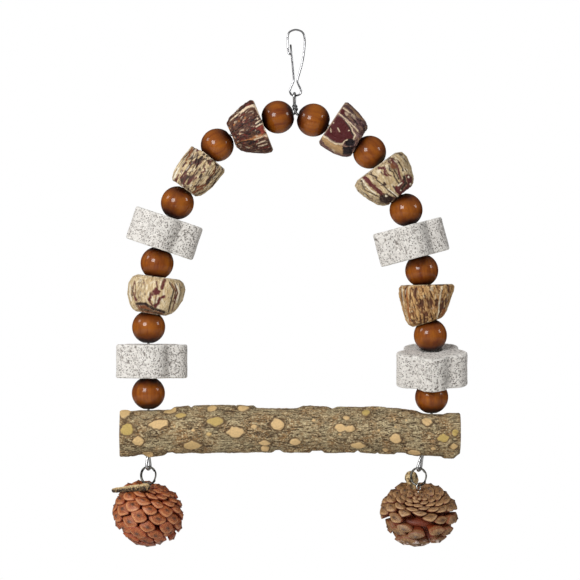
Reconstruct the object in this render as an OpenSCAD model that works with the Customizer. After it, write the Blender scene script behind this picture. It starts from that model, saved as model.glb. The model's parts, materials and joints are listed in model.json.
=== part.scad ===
// Bird swing: a bent wire arch strung with wooden beads, nut husk blocks and pumice flowers,
// closed below by a bark perch, hung from a spring wire snap hook, with two pine cones underneath.
// The origin is the inside top of the hook's crook, where the swing hangs. +Z is up and -Y faces the room.

/* [Hook] */
// Diameter of the hook's spring wire
hook_wire_d = 1.1; // [0.9:0.1:1.4]
// Width of the hook between the centres of its two sides
hook_w = 10.2; // [9:0.2:13]
// Height of the hook from the crook's inside to the middle of the eye's bottom wire
hook_len = 39; // [34:0.5:46]
// Gap between neighbouring hook wires that slide past each other
hook_gap = 0.16; // [0.1:0.02:0.25]

/* [Arch wire] */
// Diameter of the arch wire
arch_wire_d = 1.5; // [1.2:0.1:1.8]
// Half width of the loop that hangs in the hook's eye, at the wire's middle
top_loop_half_w = 1.9; // [1.8:0.1:2.4]
// Height of the loop above the twist
top_loop_len = 7; // [6:0.5:10]
// Height of the one full twist below the loop
twist_len = 3.2; // [3:0.1:6]
// Gap between the two strands of the twist
strand_gap = 0.3; // [0.2:0.05:0.5]
// Play between hanging links
link_play = 0.15; // [0.1:0.05:0.3]
// Half width of the eyes below the perch, at the wire's middle
foot_eye_half_w = 2; // [1.9:0.1:2.4]
// Drop of those eyes below the perch, to the middle of their bottom wire
foot_eye_drop = 8.4; // [7:0.2:11]
// Height of the wire's tail inside the perch
foot_tail_len = 7; // [4:1:10]

/* [Left arm] */
// Radius of the left shoulder
left_shoulder_r = 75; // [65:1:90]
// Turn of the left shoulder in degrees
left_shoulder_turn = 52.7; // [45:0.5:60]
// Radius of the left arm's long bow
left_bow_r = 201; // [150:5:400]
// Turn of the left arm's long bow in degrees
left_bow_turn = 28; // [20:0.5:32]
// Drop of the left top bead's middle below the foot of the twist
left_top_drop = 4.1; // [3.5:0.1:6.5]
// Length of wire that the left husk blocks take up between their beads, from the top
left_husk_lens = [19.6, 21.9, 18.2]; // [16:0.1:26]
// Width of the left husk blocks across their broad faces, from the top
left_husk_ds = [34.4, 26, 35]; // [24:0.2:38]
// Length of wire that the left pumice flowers take up between their beads, from the top
left_stone_lens = [17.8, 19.2]; // [14:0.1:24]

/* [Right arm] */
// Radius of the right shoulder
right_shoulder_r = 82.6; // [65:1:95]
// Turn of the right shoulder in degrees
right_shoulder_turn = 56; // [45:0.5:60]
// Radius of the right arm's long bow
right_bow_r = 316; // [200:5:400]
// Turn of the right arm's long bow in degrees
right_bow_turn = 17.9; // [14:0.5:24]
// Drop of the right top bead's middle below the foot of the twist
right_top_drop = 5.9; // [5:0.1:7.5]
// Length of wire that the right husk blocks take up between their beads, from the top
right_husk_lens = [18.5, 20.6, 18.9]; // [16:0.1:26]
// Width of the right husk blocks across their broad faces, from the top
right_husk_ds = [31, 36.8, 34]; // [24:0.2:38]
// Length of wire that the right pumice flowers take up between their beads, from the top
right_stone_lens = [17.1, 16.6]; // [14:0.1:24]

/* [Strung pieces] */
// Diameter of the wooden beads
bead_d = 20; // [18:0.5:22]
// Diameter of the hole in each bead
bead_bore_d = 4; // [3.6:0.1:4.6]
// Gap between the two top beads
top_bead_gap = 1.3; // [1:0.1:2]
// Clearance between neighbouring strung pieces
stack_play = 0.2; // [0.1:0.05:0.4]
// Diameter of the hole in husk blocks and pumice flowers
block_bore_d = 4.4; // [4:0.1:5]
// Radius of the flat seats that husk blocks and pumice flowers have for the beads nested in their ends
seat_r = 4.6; // [4.4:0.1:5]
// Thickness of a pumice flower
stone_t = 20.6; // [18:0.2:23]
// Radius of a pumice flower's petals
petal_r = 9; // [8:0.2:10]
// Reach of the petals' middles from the flower's middle
petal_reach = 13.4; // [12:0.2:15]
// Width of the worn bevel round a pumice flower's rims
stone_bevel = 0.9; // [0.5:0.1:1.5]

/* [Perch] */
// Length of the perch
perch_len = 204; // [196:1:220]
// Reach of the perch past the left wire hole
perch_left_end = 17; // [14:0.5:22]
// Diameter of the perch at its left end
perch_left_d = 27.2; // [24:0.2:30]
// Diameter of the perch at its right end
perch_right_d = 25.8; // [24:0.2:30]
// Rise of the branch's natural bow between the two wire holes
perch_bow = 2.8; // [0:0.2:4]
// Diameter of the perch's wire holes
perch_bore_d = 4; // [3.9:0.1:5]
// Height of the cut knobs above the bark
knob_h = 1.3; // [0.4:0.1:2]
// Width of a middling knob
knob_w = 7; // [5:0.5:9]

/* [Rings] */
// Outer diameter of the split rings
ring_d = 11.6; // [11:0.2:13]
// Thickness of the ring wire across the ring
ring_wall = 1; // [0.8:0.1:1.1]
// Thickness of one turn of the ring wire along the ring's axis
ring_turn_t = 0.68; // [0.5:0.02:0.7]
// Gap between the two turns of a ring
ring_gap = 0.08; // [0.06:0.02:0.14]

/* [Pine cones] */
// Width of the left cone
left_cone_w = 42; // [38:0.5:46]
// Height of the left cone along its axis
left_cone_h = 38.5; // [34:0.5:44]
// Width of the right cone
right_cone_w = 46; // [40:0.5:48]
// Height of the right cone along its axis
right_cone_h = 35.5; // [32:0.5:42]
// Diameter of the screw eyes' wire
cone_eye_wire_d = 1; // [0.8:0.1:1.2]
// Radius of the screw eyes' loops at the wire's middle
cone_eye_r = 2.1; // [2:0.1:2.6]
// Length of the screw below the loop
cone_screw_len = 11; // [8:0.5:14]

/* [Hidden] */
round_fn = 64;
tube_sides = 8;
overrun = bead_d;
left = 1;
right = -1;

// Plain vector helpers
function unit(v) = v / norm(v);
function mix(a, b, t) = a + (b - a) * t;
function ease(t) = t * t * (3 - 2 * t);
function clamp01(t) = max(0, min(1, t));
// Turns a vector about an axis through the origin
function spun(v, axis, turn) = v * cos(turn) + cross(axis, v) * sin(turn) + axis * (axis * v) * (1 - cos(turn));
// A smooth curve through points, with a number of steps between neighbours
function knot(points, i) = points[max(0, min(len(points) - 1, i))];
function curve_at(a, b, c, d, t) =
  (b * 2 + (c - a) * t + (a * 2 - b * 5 + c * 4 - d) * t * t + (b * 3 - a - c * 3 + d) * t * t * t) / 2;
function smooth(points, steps) = [
  for (i = [0 : len(points) - 2]) for (k = [0 : steps - 1])
    curve_at(knot(points, i - 1), points[i], points[i + 1], knot(points, i + 2), k / steps),
  points[len(points) - 1]];
function reversed(list) = [for (i = [len(list) - 1 : -1 : 0]) list[i]];
// The direction of a path at each of its points
function heading_at(path, i) = unit(path[min(len(path) - 1, i + 1)] - path[max(0, i - 1)]);

// A bent wire: a closed tube along a path, its section carried along without twisting
module wire(path, wide, thick, first, sides = tube_sides) {
  count = len(path);
  headings = [for (i = [0 : count - 1]) heading_at(path, i)];
  across = [for (i = 0, u = first; i < count; i = i + 1, u = i < count ? u - headings[i] * (u * headings[i]) : u)
    unit(u - headings[i] * (u * headings[i]))];
  points = [for (i = [0 : count - 1]) for (k = [0 : sides - 1])
    path[i] + across[i] * wide / 2 * cos(360 * k / sides)
      + cross(headings[i], across[i]) * thick / 2 * sin(360 * k / sides)];
  walls = [for (i = [0 : count - 2]) for (k = [0 : sides - 1])
    let (a = i * sides + k, b = i * sides + (k + 1) % sides)
      each [[a, a + sides, b], [b, a + sides, b + sides]]];
  ends = [[for (k = [0 : sides - 1]) k],
    [for (k = [sides - 1 : -1 : 0]) (count - 1) * sides + k]];
  polyhedron(points = points, faces = concat(walls, ends), convexity = 10);
}

// The hook is one length of spring wire. Its outline is given in shares of its width and length,
// from the catch in front of the gate, over the crook, down the back and round the eye.
hook_size = [hook_w, 0, hook_len];
catch_y = -(hook_wire_d + hook_gap);
gate_foot_share = [-0.12, 0, -0.765];
frame_shares = [[-0.30, 0, -0.372], [-0.40, 0, -0.368], [-0.455, 0, -0.335], [-0.478, 0, -0.26],
  [-0.492, 0, -0.16], [-0.478, 0, -0.09], [-0.36, 0, -0.03], [0, 0, 0], [0.37, 0, -0.036],
  [0.50, 0, -0.12], [0.51, 0, -0.24], [0.44, 0, -0.40], [0.31, 0, -0.56], [0.13, 0, -0.72],
  [0.08, 0, -0.775], [0.14, 0, -0.83], [0.30, 0, -0.925], [0.22, 0, -0.98], [-0.04, 0, -1],
  [-0.27, 0, -0.985], [-0.36, 0, -0.93], [-0.30, 0, -0.875], [-0.17, 0, -0.80], gate_foot_share];
catch_reach_shares = [1, 1, 0.75, 0.2];
gate_shares = [gate_foot_share, [-0.16, 0, -0.66], [-0.215, 0, -0.50], [-0.27, 0, -0.36], [-0.315, 0, -0.235]];
crook_lift = [0, 0, hook_wire_d / 2];
function hook_point(share, reach_share) =
  [share.x * hook_size.x, reach_share * catch_y, share.z * hook_size.z] + crook_lift * (1 + share.z);
function catch_reach(i) = i < len(catch_reach_shares) ? catch_reach_shares[i] : 0;
frame_path = smooth([for (i = [0 : len(frame_shares) - 1]) hook_point(frame_shares[i], catch_reach(i))], 3);
gate_path = smooth([for (share = gate_shares) hook_point(share, 0)], 4);
gate_pivot = hook_point(gate_foot_share, 0);
gate_root = gate_pivot + unit(gate_path[1] - gate_pivot) * hook_gap;
eye_bottom = hook_point([-0.09, 0, -1], 0);

module hook_frame() {
  color("silver") wire(frame_path, hook_wire_d, hook_wire_d, [0, 1, 0]);
}

module hook_gate() {
  color("silver") wire(concat([gate_root], [for (i = [1 : len(gate_path) - 1]) gate_path[i]]),
    hook_wire_d, hook_wire_d, [0, 1, 0]);
}

// Where the arch hangs: its loop rests on the bottom wire of the hook's eye
link_x = eye_bottom.x;
loop_top_z = eye_bottom.z + hook_wire_d / 2 + link_play + arch_wire_d / 2;
twist_top_z = loop_top_z - top_loop_len;
twist_foot_z = twist_top_z - twist_len;
strand_r = (arch_wire_d + strand_gap) / 2;
top_bead_reach = (bead_d + top_bead_gap) / 2;
loop_turn = 8;
loop_side = [sin(loop_turn), cos(loop_turn), 0];
arch_mid_x = -0.3 * strand_r;

// One arm of the arch: [side, shoulder radius, shoulder turn, bow radius, bow turn, drop, husks, stones]
left_arm = [left, left_shoulder_r, left_shoulder_turn, left_bow_r, left_bow_turn, left_top_drop,
  left_husk_lens, left_stone_lens, left_husk_ds];
right_arm = [right, right_shoulder_r, right_shoulder_turn, right_bow_r, right_bow_turn, right_top_drop,
  right_husk_lens, right_stone_lens, right_husk_ds];
// An arc walked from a point, heading down from a lean off the vertical that shrinks as it goes
function arc_end(side, from, lean, radius, turn) =
  from - [side * radius * (cos(lean - turn) - cos(lean)), 0, radius * (sin(lean) - sin(lean - turn))];
function arm_start(arm) = [arch_mid_x - arm[0] * top_bead_reach, 0, twist_foot_z - arm[5]];
function arm_lean(arm) = arm[2] + arm[4];
function shoulder_len(arm) = arm[1] * arm[2] * PI / 180;
function bow_len(arm) = arm[3] * arm[4] * PI / 180;
function shoulder_end(arm) = arc_end(arm[0], arm_start(arm), arm_lean(arm), arm[1], arm[2]);
function bow_end(arm) = arc_end(arm[0], shoulder_end(arm), arm[4], arm[3], arm[4]);
// The wire's lean and place at a length below the top bead's middle
function lean_at(arm, s) =
  s < 0 ? arm_lean(arm)
  : s < shoulder_len(arm) ? arm_lean(arm) - s / arm[1] * 180 / PI
  : s < shoulder_len(arm) + bow_len(arm) ? arm[4] - (s - shoulder_len(arm)) / arm[3] * 180 / PI
  : 0;
function up_at(arm, s) = [arm[0] * sin(lean_at(arm, s)), 0, cos(lean_at(arm, s))];
function arm_at(arm, s) =
  s < 0 ? arm_start(arm) - up_at(arm, s) * s
  : s < shoulder_len(arm) ? arc_end(arm[0], arm_start(arm), arm_lean(arm), arm[1], s / arm[1] * 180 / PI)
  : s < shoulder_len(arm) + bow_len(arm)
    ? arc_end(arm[0], shoulder_end(arm), arm[4], arm[3], (s - shoulder_len(arm)) / arm[3] * 180 / PI)
  : bow_end(arm) - [0, 0, s - shoulder_len(arm) - bow_len(arm)];
function bend_r(arm, s) = s < shoulder_len(arm) ? arm[1] : arm[3];

// The order of the strung pieces from the top bead down, and each one's length along the wire
stack_kinds = ["bead", "husk", "bead", "husk", "bead", "stone", "bead", "husk", "bead", "stone", "bead"];
function kind_count(kind, k) = len([for (i = [0 : k]) if (stack_kinds[i] == kind) i]);
function piece_len(arm, k) =
  stack_kinds[k] == "bead" ? bead_d
  : stack_kinds[k] == "husk" ? arm[6][kind_count("husk", k) - 1]
  : arm[7][kind_count("stone", k) - 1];
// A bend brings the corners of neighbouring pieces closer, so each step is a little longer
function bend_step(arm, s, step) = step * step * step / (6 * bend_r(arm, s) * bend_r(arm, s));
function next_s(arm, k, s) =
  let (step = (piece_len(arm, k) + piece_len(arm, k + 1)) / 2)
    s + step + stack_play + bend_step(arm, s + step / 2, step);
function stack_places(arm) = [for (k = 0, s = 0; k < len(stack_kinds);
  s = k < len(stack_kinds) - 1 ? next_s(arm, k, s) : s, k = k + 1) s];
left_places = stack_places(left_arm);
right_places = stack_places(right_arm);
function places(arm) = arm[0] == left ? left_places : right_places;
function foot_s(arm) = places(arm)[len(stack_kinds) - 1] + bead_d / 2 + stack_play;
left_foot = arm_at(left_arm, foot_s(left_arm));
right_foot = arm_at(right_arm, foot_s(right_arm));

// The perch lies under both feet, its axis level with them
function foot(arm) = arm[0] == left ? left_foot : right_foot;
foot_span = right_foot.x - left_foot.x;
left_axis_z = left_foot.z - perch_left_d / 2;
right_axis_z = right_foot.z - perch_right_d / 2;
perch_lean = atan2(right_axis_z - left_axis_z, foot_span);
perch_along = [cos(perch_lean), 0, sin(perch_lean)];
perch_left = [left_foot.x, 0, left_axis_z] - perch_along * perch_left_end;
perch_hole_shares = [perch_left_end / perch_len, (perch_left_end + foot_span) / perch_len];

// Each arm's wire runs down through the perch and back up, leaving an eye below
right_hole_lean = 13;
function hole_down(arm) = arm[0] == left ? [0, 0, -1] : [-sin(right_hole_lean), 0, -cos(right_hole_lean)];
function perch_d_at(arm) = arm[0] == left ? perch_left_d : perch_right_d;
function hole_exit(arm) = foot(arm)
  + hole_down(arm) * perch_d_at(arm) / cos(arm[0] == left ? 0 : right_hole_lean);
ring_turn_angle = 33;
eye_side = [sin(ring_turn_angle), cos(ring_turn_angle), 0];
function eye_across(arm) = unit(eye_side - hole_down(arm) * (eye_side * hole_down(arm)));
function eye_point(arm, across, down) = hole_exit(arm) + eye_across(arm) * across + hole_down(arm) * down;
function foot_eye_bottom(arm) = eye_point(arm, 0, foot_eye_drop);
foot_arc_drop = foot_eye_drop - foot_eye_half_w;
foot_eye_steps = 10;
function foot_path(arm) = concat(
  [foot(arm), eye_point(arm, strand_r * 0.6, -foot_tail_len), eye_point(arm, strand_r, -foot_tail_len / 3)],
  [for (t = [0.2, 0.5, 0.8])
    eye_point(arm, mix(strand_r, foot_eye_half_w, ease(t)), foot_arc_drop * t)],
  [for (i = [0 : foot_eye_steps]) let (a = 180 * i / foot_eye_steps)
    eye_point(arm, foot_eye_half_w * cos(a), foot_arc_drop + foot_eye_half_w * sin(a))],
  [for (t = [0.8, 0.5, 0.2])
    eye_point(arm, -mix(strand_r, foot_eye_half_w, ease(t)), foot_arc_drop * t)],
  [eye_point(arm, -strand_r, -foot_tail_len / 3), eye_point(arm, -strand_r, -foot_tail_len)]);

// The top of one strand: half the loop, the twist, and the bend into the top bead's hole
loop_arc_steps = 5;
twist_steps = 9;
bend_steps = 6;
bore_depth = bead_d / 2 * 0.62;
bend_handle = strand_r * 2.6;
function link_point(x, turn, reach, z) = [x, 0, z] + spun(loop_side, [0, 0, 1], turn) * reach;
function loop_half(arm) = concat(
  [for (i = [1 : loop_arc_steps]) let (a = 90 * i / loop_arc_steps)
    link_point(link_x, 0, arm[0] * top_loop_half_w * sin(a), loop_top_z - top_loop_half_w * (1 - cos(a)))],
  [for (t = [0.35, 0.65, 0.85])
    link_point(link_x, 0, arm[0] * mix(top_loop_half_w, strand_r, ease(t)),
      mix(loop_top_z - top_loop_half_w, twist_top_z, t))]);
function twist_half(arm) = [for (i = [0 : twist_steps]) let (t = i / twist_steps)
  link_point(mix(link_x, arch_mid_x, t), (360 - loop_turn) * t, arm[0] * strand_r,
    mix(twist_top_z, twist_foot_z, t))];
function bend_half(arm) =
  let (a = link_point(arch_mid_x, -loop_turn, arm[0] * strand_r, twist_foot_z),
    b = a - [0, 0, bend_handle],
    d = arm_at(arm, -bore_depth),
    c = d + up_at(arm, 0) * bend_handle)
  [for (i = [1 : bend_steps]) let (t = i / bend_steps, u = 1 - t)
    a * u * u * u + b * 3 * u * u * t + c * 3 * u * t * t + d * t * t * t];
arm_steps = 22;
function arm_half(arm) = [for (i = [0 : arm_steps - 1])
  arm_at(arm, mix(-bore_depth / 2, foot_s(arm), i / arm_steps))];
function strand(arm) = concat(loop_half(arm), twist_half(arm), bend_half(arm), arm_half(arm), foot_path(arm));

module arch_wire() {
  path = concat(reversed(strand(left_arm)), [link_point(link_x, 0, 0, loop_top_z)], strand(right_arm));
  color("silver") wire(path, arch_wire_d, arch_wire_d, [0, 1, 0]);
}

// The perch: a peeled and cut branch with bark ridges and the flat stubs of trimmed twigs.
// Each knob: [share along the perch, place round it in degrees up from the front, share of the knob width]
perch_stations = 44;
perch_sides = 20;
knobs = [[0.015, 55, 1], [0.03, 8, 1], [0.06, -20, 1], [0.115, 21, 1.5], [0.213, -33, 1.5], [0.18, 84, 1.2],
  [0.24, 88, 1.3], [0.301, 92, 1.9], [0.282, 29, 1.3], [0.34, 3, 1.4], [0.368, 88, 1.3], [0.427, -25, 1],
  [0.463, 23, 1.2], [0.515, -22, 1], [0.573, 92, 2], [0.659, 15, 1.4], [0.68, 88, 2.2], [0.70, -30, 1.2],
  [0.722, 63, 1], [0.79, 92, 0.8], [0.815, 86, 0.8], [0.809, -11, 1], [0.864, 96, 1.8], [0.864, -51, 1.3],
  [0.901, 33, 1], [0.947, -9, 1.3], [0.975, 88, 1.2], [0.01, -80, 1], [0.105, -96, 1.4], [0.195, -84, 1.6],
  [0.29, -94, 2], [0.36, -82, 1.6], [0.417, -88, 1.6], [0.507, -92, 1.4], [0.54, -84, 1], [0.624, -88, 1.2],
  [0.668, -94, 1.2], [0.73, -86, 1.2], [0.785, -92, 1.2], [0.98, -86, 1.4]];
back_knobs = 18;
back_knob_shares = [for (i = [1 : back_knobs]) [i * 0.618 % 1, 115 + i * 0.382 % 1 * 130, 1.1]];
function knob_rise(knob, along, round) =
  let (dx = (along - knob[0]) * perch_len / (knob[2] * knob_w / 2),
    turn = abs((round - knob[1] + 540) % 360 - 180),
    dy = turn * PI / 180 * perch_left_d / 2 / (knob_w / 2))
  ease(clamp01(1.6 - sqrt(dx * dx + dy * dy)));
function knobs_rise(along, round) =
  max([for (knob = concat(knobs, back_knob_shares)) knob_rise(knob, along, round)]);
ridge_share = 0.012;
// The bark is worn flat on top where the lowest beads sit: 0 at a wire hole, 1 past the seat
function off_seat(along, round) =
  let (dx = min([for (hole = perch_hole_shares) abs(along - hole)]) * perch_len,
    dy = abs(round - 90) * PI / 180 * perch_left_d / 2)
    ease(clamp01(sqrt(dx * dx + dy * dy) / (bead_d / 4) - 1));
function perch_r(along, round) =
  mix(perch_left_d, perch_right_d, along) / 2
    * (1 - ridge_share + off_seat(along, round) * ridge_share
      * (sin(along * 1460 + 40 * sin(round * 2)) + sin(round * 3 + along * 290)))
    + knob_h * knobs_rise(along, round) * off_seat(along, round);

// How far the branch's middle line has risen at a share of its length
function perch_lift(along) =
  let (holes = perch_hole_shares, off_mid = (2 * along - holes[0] - holes[1]) / (holes[1] - holes[0]))
    perch_bow * ease(clamp01(1 - pow(off_mid, 4)));

module perch() {
  rim_share = 0.985;
  stations = concat([0], [for (i = [0 : perch_stations]) mix(0.006, 0.994, i / perch_stations)], [1]);
  count = len(stations);
  points = [for (i = [0 : count - 1]) for (k = [0 : perch_sides - 1])
    let (round = 360 * k / perch_sides, share = i == 0 || i == count - 1 ? rim_share : 1,
      r = perch_r(stations[i], round) * share)
      perch_left + perch_along * perch_len * stations[i] + [0, 0, perch_lift(stations[i])]
        + [0, -1, 0] * r * cos(round) + cross([0, -1, 0], perch_along) * r * sin(round)];
  walls = [for (i = [0 : count - 2]) for (k = [0 : perch_sides - 1])
    let (a = i * perch_sides + k, b = i * perch_sides + (k + 1) % perch_sides)
      each [[a, b, a + perch_sides], [b, b + perch_sides, a + perch_sides]]];
  ends = [[for (k = [perch_sides - 1 : -1 : 0]) k],
    [for (k = [0 : perch_sides - 1]) (count - 1) * perch_sides + k]];
  color([0.53, 0.47, 0.33]) difference() {
    polyhedron(points = points, faces = concat(walls, ends), convexity = 4);
    for (arm = [left_arm, right_arm]) perch_bore(arm);
  }
}

// A wire hole through the perch, from above the foot to below the eye's root
module perch_bore(arm) {
  translate(foot(arm) - hole_down(arm) * overrun)
    rotate([0, arm[0] == left ? 180 : 180 + right_hole_lean, 0])
      cylinder(d = perch_bore_d, h = perch_d_at(arm) + overrun * 2, $fn = round_fn);
}

// Puts a piece on its arm, with its own +Z up along the wire
module on_arm(arm, k) {
  s = places(arm)[k];
  translate(arm_at(arm, s)) rotate([0, arm[0] * lean_at(arm, s), 0]) children();
}

// A turned and lacquered wooden bead
module bead(arm, k) {
  color([0.62, 0.33, 0.08]) on_arm(arm, k) difference() {
    sphere(d = bead_d, $fn = round_fn);
    cylinder(d = bead_bore_d, h = bead_d + overrun, center = true, $fn = round_fn);
  }
}

// A block sawn from a nut's husk: broad above, ribbed sides, narrow below, each end hollowed for a bead.
// The heights of its levels are shares of its length below the broad face.
husk_sides = 24;
husk_level_shares = [0, 0.08, 0.25, 0.55, 0.8, 0.92, 1];
husk_rib_share = 0.025;
husk_depth_share = 0.95;
// Each block: [radii at the levels, shifts of its broad and narrow ends, their tilts, their hollows' depths],
// in shares of its half width, its width, its width and the bead's width.
left_husk_forms = [
  [[0.94, 1, 0.97, 0.83, 0.7, 0.58, 0.43], [0.1, 0.06], [-0.05, 0.04], [0.025, 0.03]],
  [[0.92, 1, 0.99, 0.99, 0.9, 0.8, 0.67], [0.12, 0.04], [-0.095, 0], [0.1, 0.045]],
  [[0.74, 0.9, 1, 0.97, 0.83, 0.7, 0.5], [0.08, 0.05], [0, 0.02], [0.11, 0.12]]];
right_husk_forms = [
  [[0.94, 1, 0.99, 0.94, 0.84, 0.75, 0.62], [0.07, -0.02], [-0.066, -0.06], [0, 0.11]],
  [[0.8, 0.96, 1, 0.9, 0.77, 0.63, 0.45], [-0.1, -0.04], [0.06, 0.08], [0.05, 0.075]],
  [[0.92, 1, 0.98, 0.87, 0.76, 0.66, 0.52], [0.035, -0.065], [-0.1, 0.13], [0.075, 0.12]]];
module husk(arm, k, tone) {
  nth = kind_count("husk", k) - 1;
  form = (arm[0] == left ? left_husk_forms : right_husk_forms)[nth];
  wide = arm[8][nth];
  seat_len = piece_len(arm, k);
  seed = k + (arm[0] == left ? 0 : 3);
  levels = len(husk_level_shares);
  function rib(round) = 1 + husk_rib_share * (0.5 * sin(5 * round) + 0.5 * sin(11 * round) * cos(47 * seed));
  function across(j, round) = wide / 2 * form[0][j] * rib(round) * cos(round)
    + wide * mix(form[1][0], form[1][1], husk_level_shares[j]);
  function deep(j, round) = wide / 2 * form[0][j] * rib(round) * sin(round) * husk_depth_share;
  function broad_z(x) = seat_len / 2 + bead_d * form[3][0] + x * form[2][0];
  function narrow_z(x) = -seat_len / 2 - bead_d * form[3][1] + x * form[2][1];
  points = [for (j = [0 : levels - 1]) for (i = [0 : husk_sides - 1])
    let (round = 360 * i / husk_sides, x = across(j, round))
      [x, deep(j, round), mix(broad_z(x), narrow_z(x), husk_level_shares[j])]];
  walls = [for (j = [0 : levels - 2]) for (i = [0 : husk_sides - 1])
    let (a = j * husk_sides + i, b = j * husk_sides + (i + 1) % husk_sides)
      each [[a, b, a + husk_sides], [b, b + husk_sides, a + husk_sides]]];
  ends = [[for (i = [husk_sides - 1 : -1 : 0]) i],
    [for (i = [0 : husk_sides - 1]) (levels - 1) * husk_sides + i]];
  color(tone) on_arm(arm, k) difference() {
    polyhedron(points = points, faces = concat(walls, ends), convexity = 4);
    bead_seats(arm, k);
  }
}

// How far the bend of the wire sets a neighbouring bead off a block's own axis
function bead_offset(arm, k, next) =
  let (own = arm_at(arm, places(arm)[k]), up = up_at(arm, places(arm)[k]),
    apart = arm_at(arm, places(arm)[next]) - own)
    norm(apart - up * (apart * up));
// The hole for the wire and the two flared seats where the neighbouring beads nest
module bead_seats(arm, k) {
  seat_len = piece_len(arm, k);
  cylinder(d = block_bore_d, h = seat_len * 2, center = true, $fn = round_fn);
  for (end = [1, -1]) let (reach = seat_r + bead_offset(arm, k, k - end))
    rotate([end > 0 ? 0 : 180, 0, 0]) translate([0, 0, seat_len / 2])
      cylinder(r1 = reach, r2 = reach + bead_d / 2, h = bead_d / 2, $fn = round_fn);
}

// A pumice flower of five petals with worn rims, its hole worn wide at both ends where the beads nest.
// Each flower: [spin of the petals, shift of the flower off its hole as a share of its reach, skew of the hole]
petals = 5;
left_stone_forms = [[-8, 0, 0], [3, 0.085, 0]];
right_stone_forms = [[6, -0.13, 0], [0, 0, 13]];
stone_drop = (stone_t - (left_stone_lens[0] + left_stone_lens[1]) / 2) * 0.3;
stone_core_r = petal_reach * 0.8;
module stone(arm, k) {
  nth = kind_count("stone", k) - 1;
  form = (arm[0] == left ? left_stone_forms : right_stone_forms)[nth];
  color([0.84, 0.82, 0.79]) on_arm(arm, k) difference() {
    translate([form[1] * (petal_reach + petal_r), 0, -stone_drop])
      rotate([form[2], 0, 0]) rotate([0, 0, form[0] - 90]) intersection() {
        linear_extrude(height = stone_t, center = true) flower();
        rotate_extrude($fn = round_fn) worn_rim(stone_t);
      }
    bead_seats(arm, k);
  }
}

module flower() {
  circle(r = stone_core_r, $fn = round_fn);
  for (i = [0 : petals - 1]) rotate(360 * i / petals)
    translate([petal_reach, 0]) circle(r = petal_r, $fn = round_fn);
}

// The petals' tips are worn round above and below
module worn_rim(thick) {
  reach = petal_reach + petal_r;
  polygon([[0, -thick], [reach - stone_bevel - thick / 2, -thick], [reach + thick / 2 - stone_bevel, 0],
    [reach - stone_bevel - thick / 2, thick], [0, thick]]);
}

// A split ring: two flat turns of wire side by side. It hangs in the arch wire's eye below the perch.
ring_mean_r = (ring_d - ring_wall) / 2;
ring_pitch = ring_turn_t + ring_gap;
ring_axial = ring_turn_t * 2 + ring_gap;
eye_inner_r = foot_eye_half_w - arch_wire_d / 2;
ring_seat_lift = eye_inner_r - sqrt(eye_inner_r * eye_inner_r - ring_axial * ring_axial / 4);
function ring_mid(arm) = foot_eye_bottom(arm)
  + [0, 0, arch_wire_d / 2 + link_play + ring_seat_lift + ring_wall / 2 - ring_mean_r];
ring_out = [cos(ring_turn_angle), -sin(ring_turn_angle), 0];
// Its two turns lie side by side. One short jog crosses between them, and each end stops short of it.
ring_steps = 42;
ring_jog_turn = 50;
ring_turn_all = 652;
module split_ring(arm) {
  function axial(a) = ring_pitch * (ease(clamp01(a / ring_jog_turn + 0.5)) - 0.5);
  path = [for (i = [0 : ring_steps]) let (a = ring_turn_all * (i / ring_steps - 0.5))
    ring_mid(arm) + (ring_out * cos(a) + [0, 0, 1] * sin(a)) * ring_mean_r + eye_side * axial(a)];
  color("silver") wire(path, ring_turn_t, ring_wall, eye_side);
}

// A small screw eye that joins a cone to its ring
eye_thread_r = cone_eye_r - cone_eye_wire_d / 2;
cone_eye_lift = eye_thread_r - sqrt(eye_thread_r * eye_thread_r - ring_axial * ring_axial / 4);
function cone_pivot(arm) = ring_mid(arm) - [0, 0, ring_mean_r];
function cone_eye_mid(arm) = cone_pivot(arm)
  + [0, 0, ring_wall / 2 + link_play + cone_eye_lift + cone_eye_wire_d / 2 - cone_eye_r];
cone_eye_steps = 18;
module cone_eye(arm) {
  mid = cone_eye_mid(arm);
  loop = [for (i = [0 : cone_eye_steps]) let (a = -52 + i * 322 / cone_eye_steps)
    mid + (eye_side * cos(a) + [0, 0, 1] * sin(a)) * cone_eye_r];
  screw = [for (t = [0.12, 0.3, 1]) mid - [0, 0, cone_eye_r + cone_screw_len * t]];
  color("silver") wire(concat(loop, screw), cone_eye_wire_d, cone_eye_wire_d, ring_out);
}

// A pine cone: a woody core with thick lozenge-faced scales set round it by the golden angle.
// The stem end points up and tilts by lean; the lower scales stand open.
scale_count = 58;
golden_turn = 137.508;
cone_dip_r = ring_d * 0.55;
cone_dip_lift = ring_d * 0.1;
cone_hang = ring_d * 1.47;
module cone(arm, w, h, lean, openness, tone, stub) {
  mid = cone_pivot(arm) - [0, 0, cone_hang];
  color(tone) difference() {
    union() {
      translate(mid) rotate(lean) {
        scale([w, w, h]) sphere(d = 0.66, $fn = 20);
        for (i = [0 : scale_count - 1])
          cone_scale((i + 0.5) / scale_count, i * golden_turn, w / 2, h / 2, openness);
      }
      translate(mid) stub_twig(stub);
    }
    translate(cone_pivot(arm) + [0, 0, cone_dip_lift]) sphere(r = cone_dip_r, $fn = 24);
    translate(cone_eye_mid(arm) - [0, 0, cone_eye_r + cone_screw_len])
      cylinder(d = cone_eye_wire_d, h = cone_screw_len, $fn = 16);
  }
}

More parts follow.
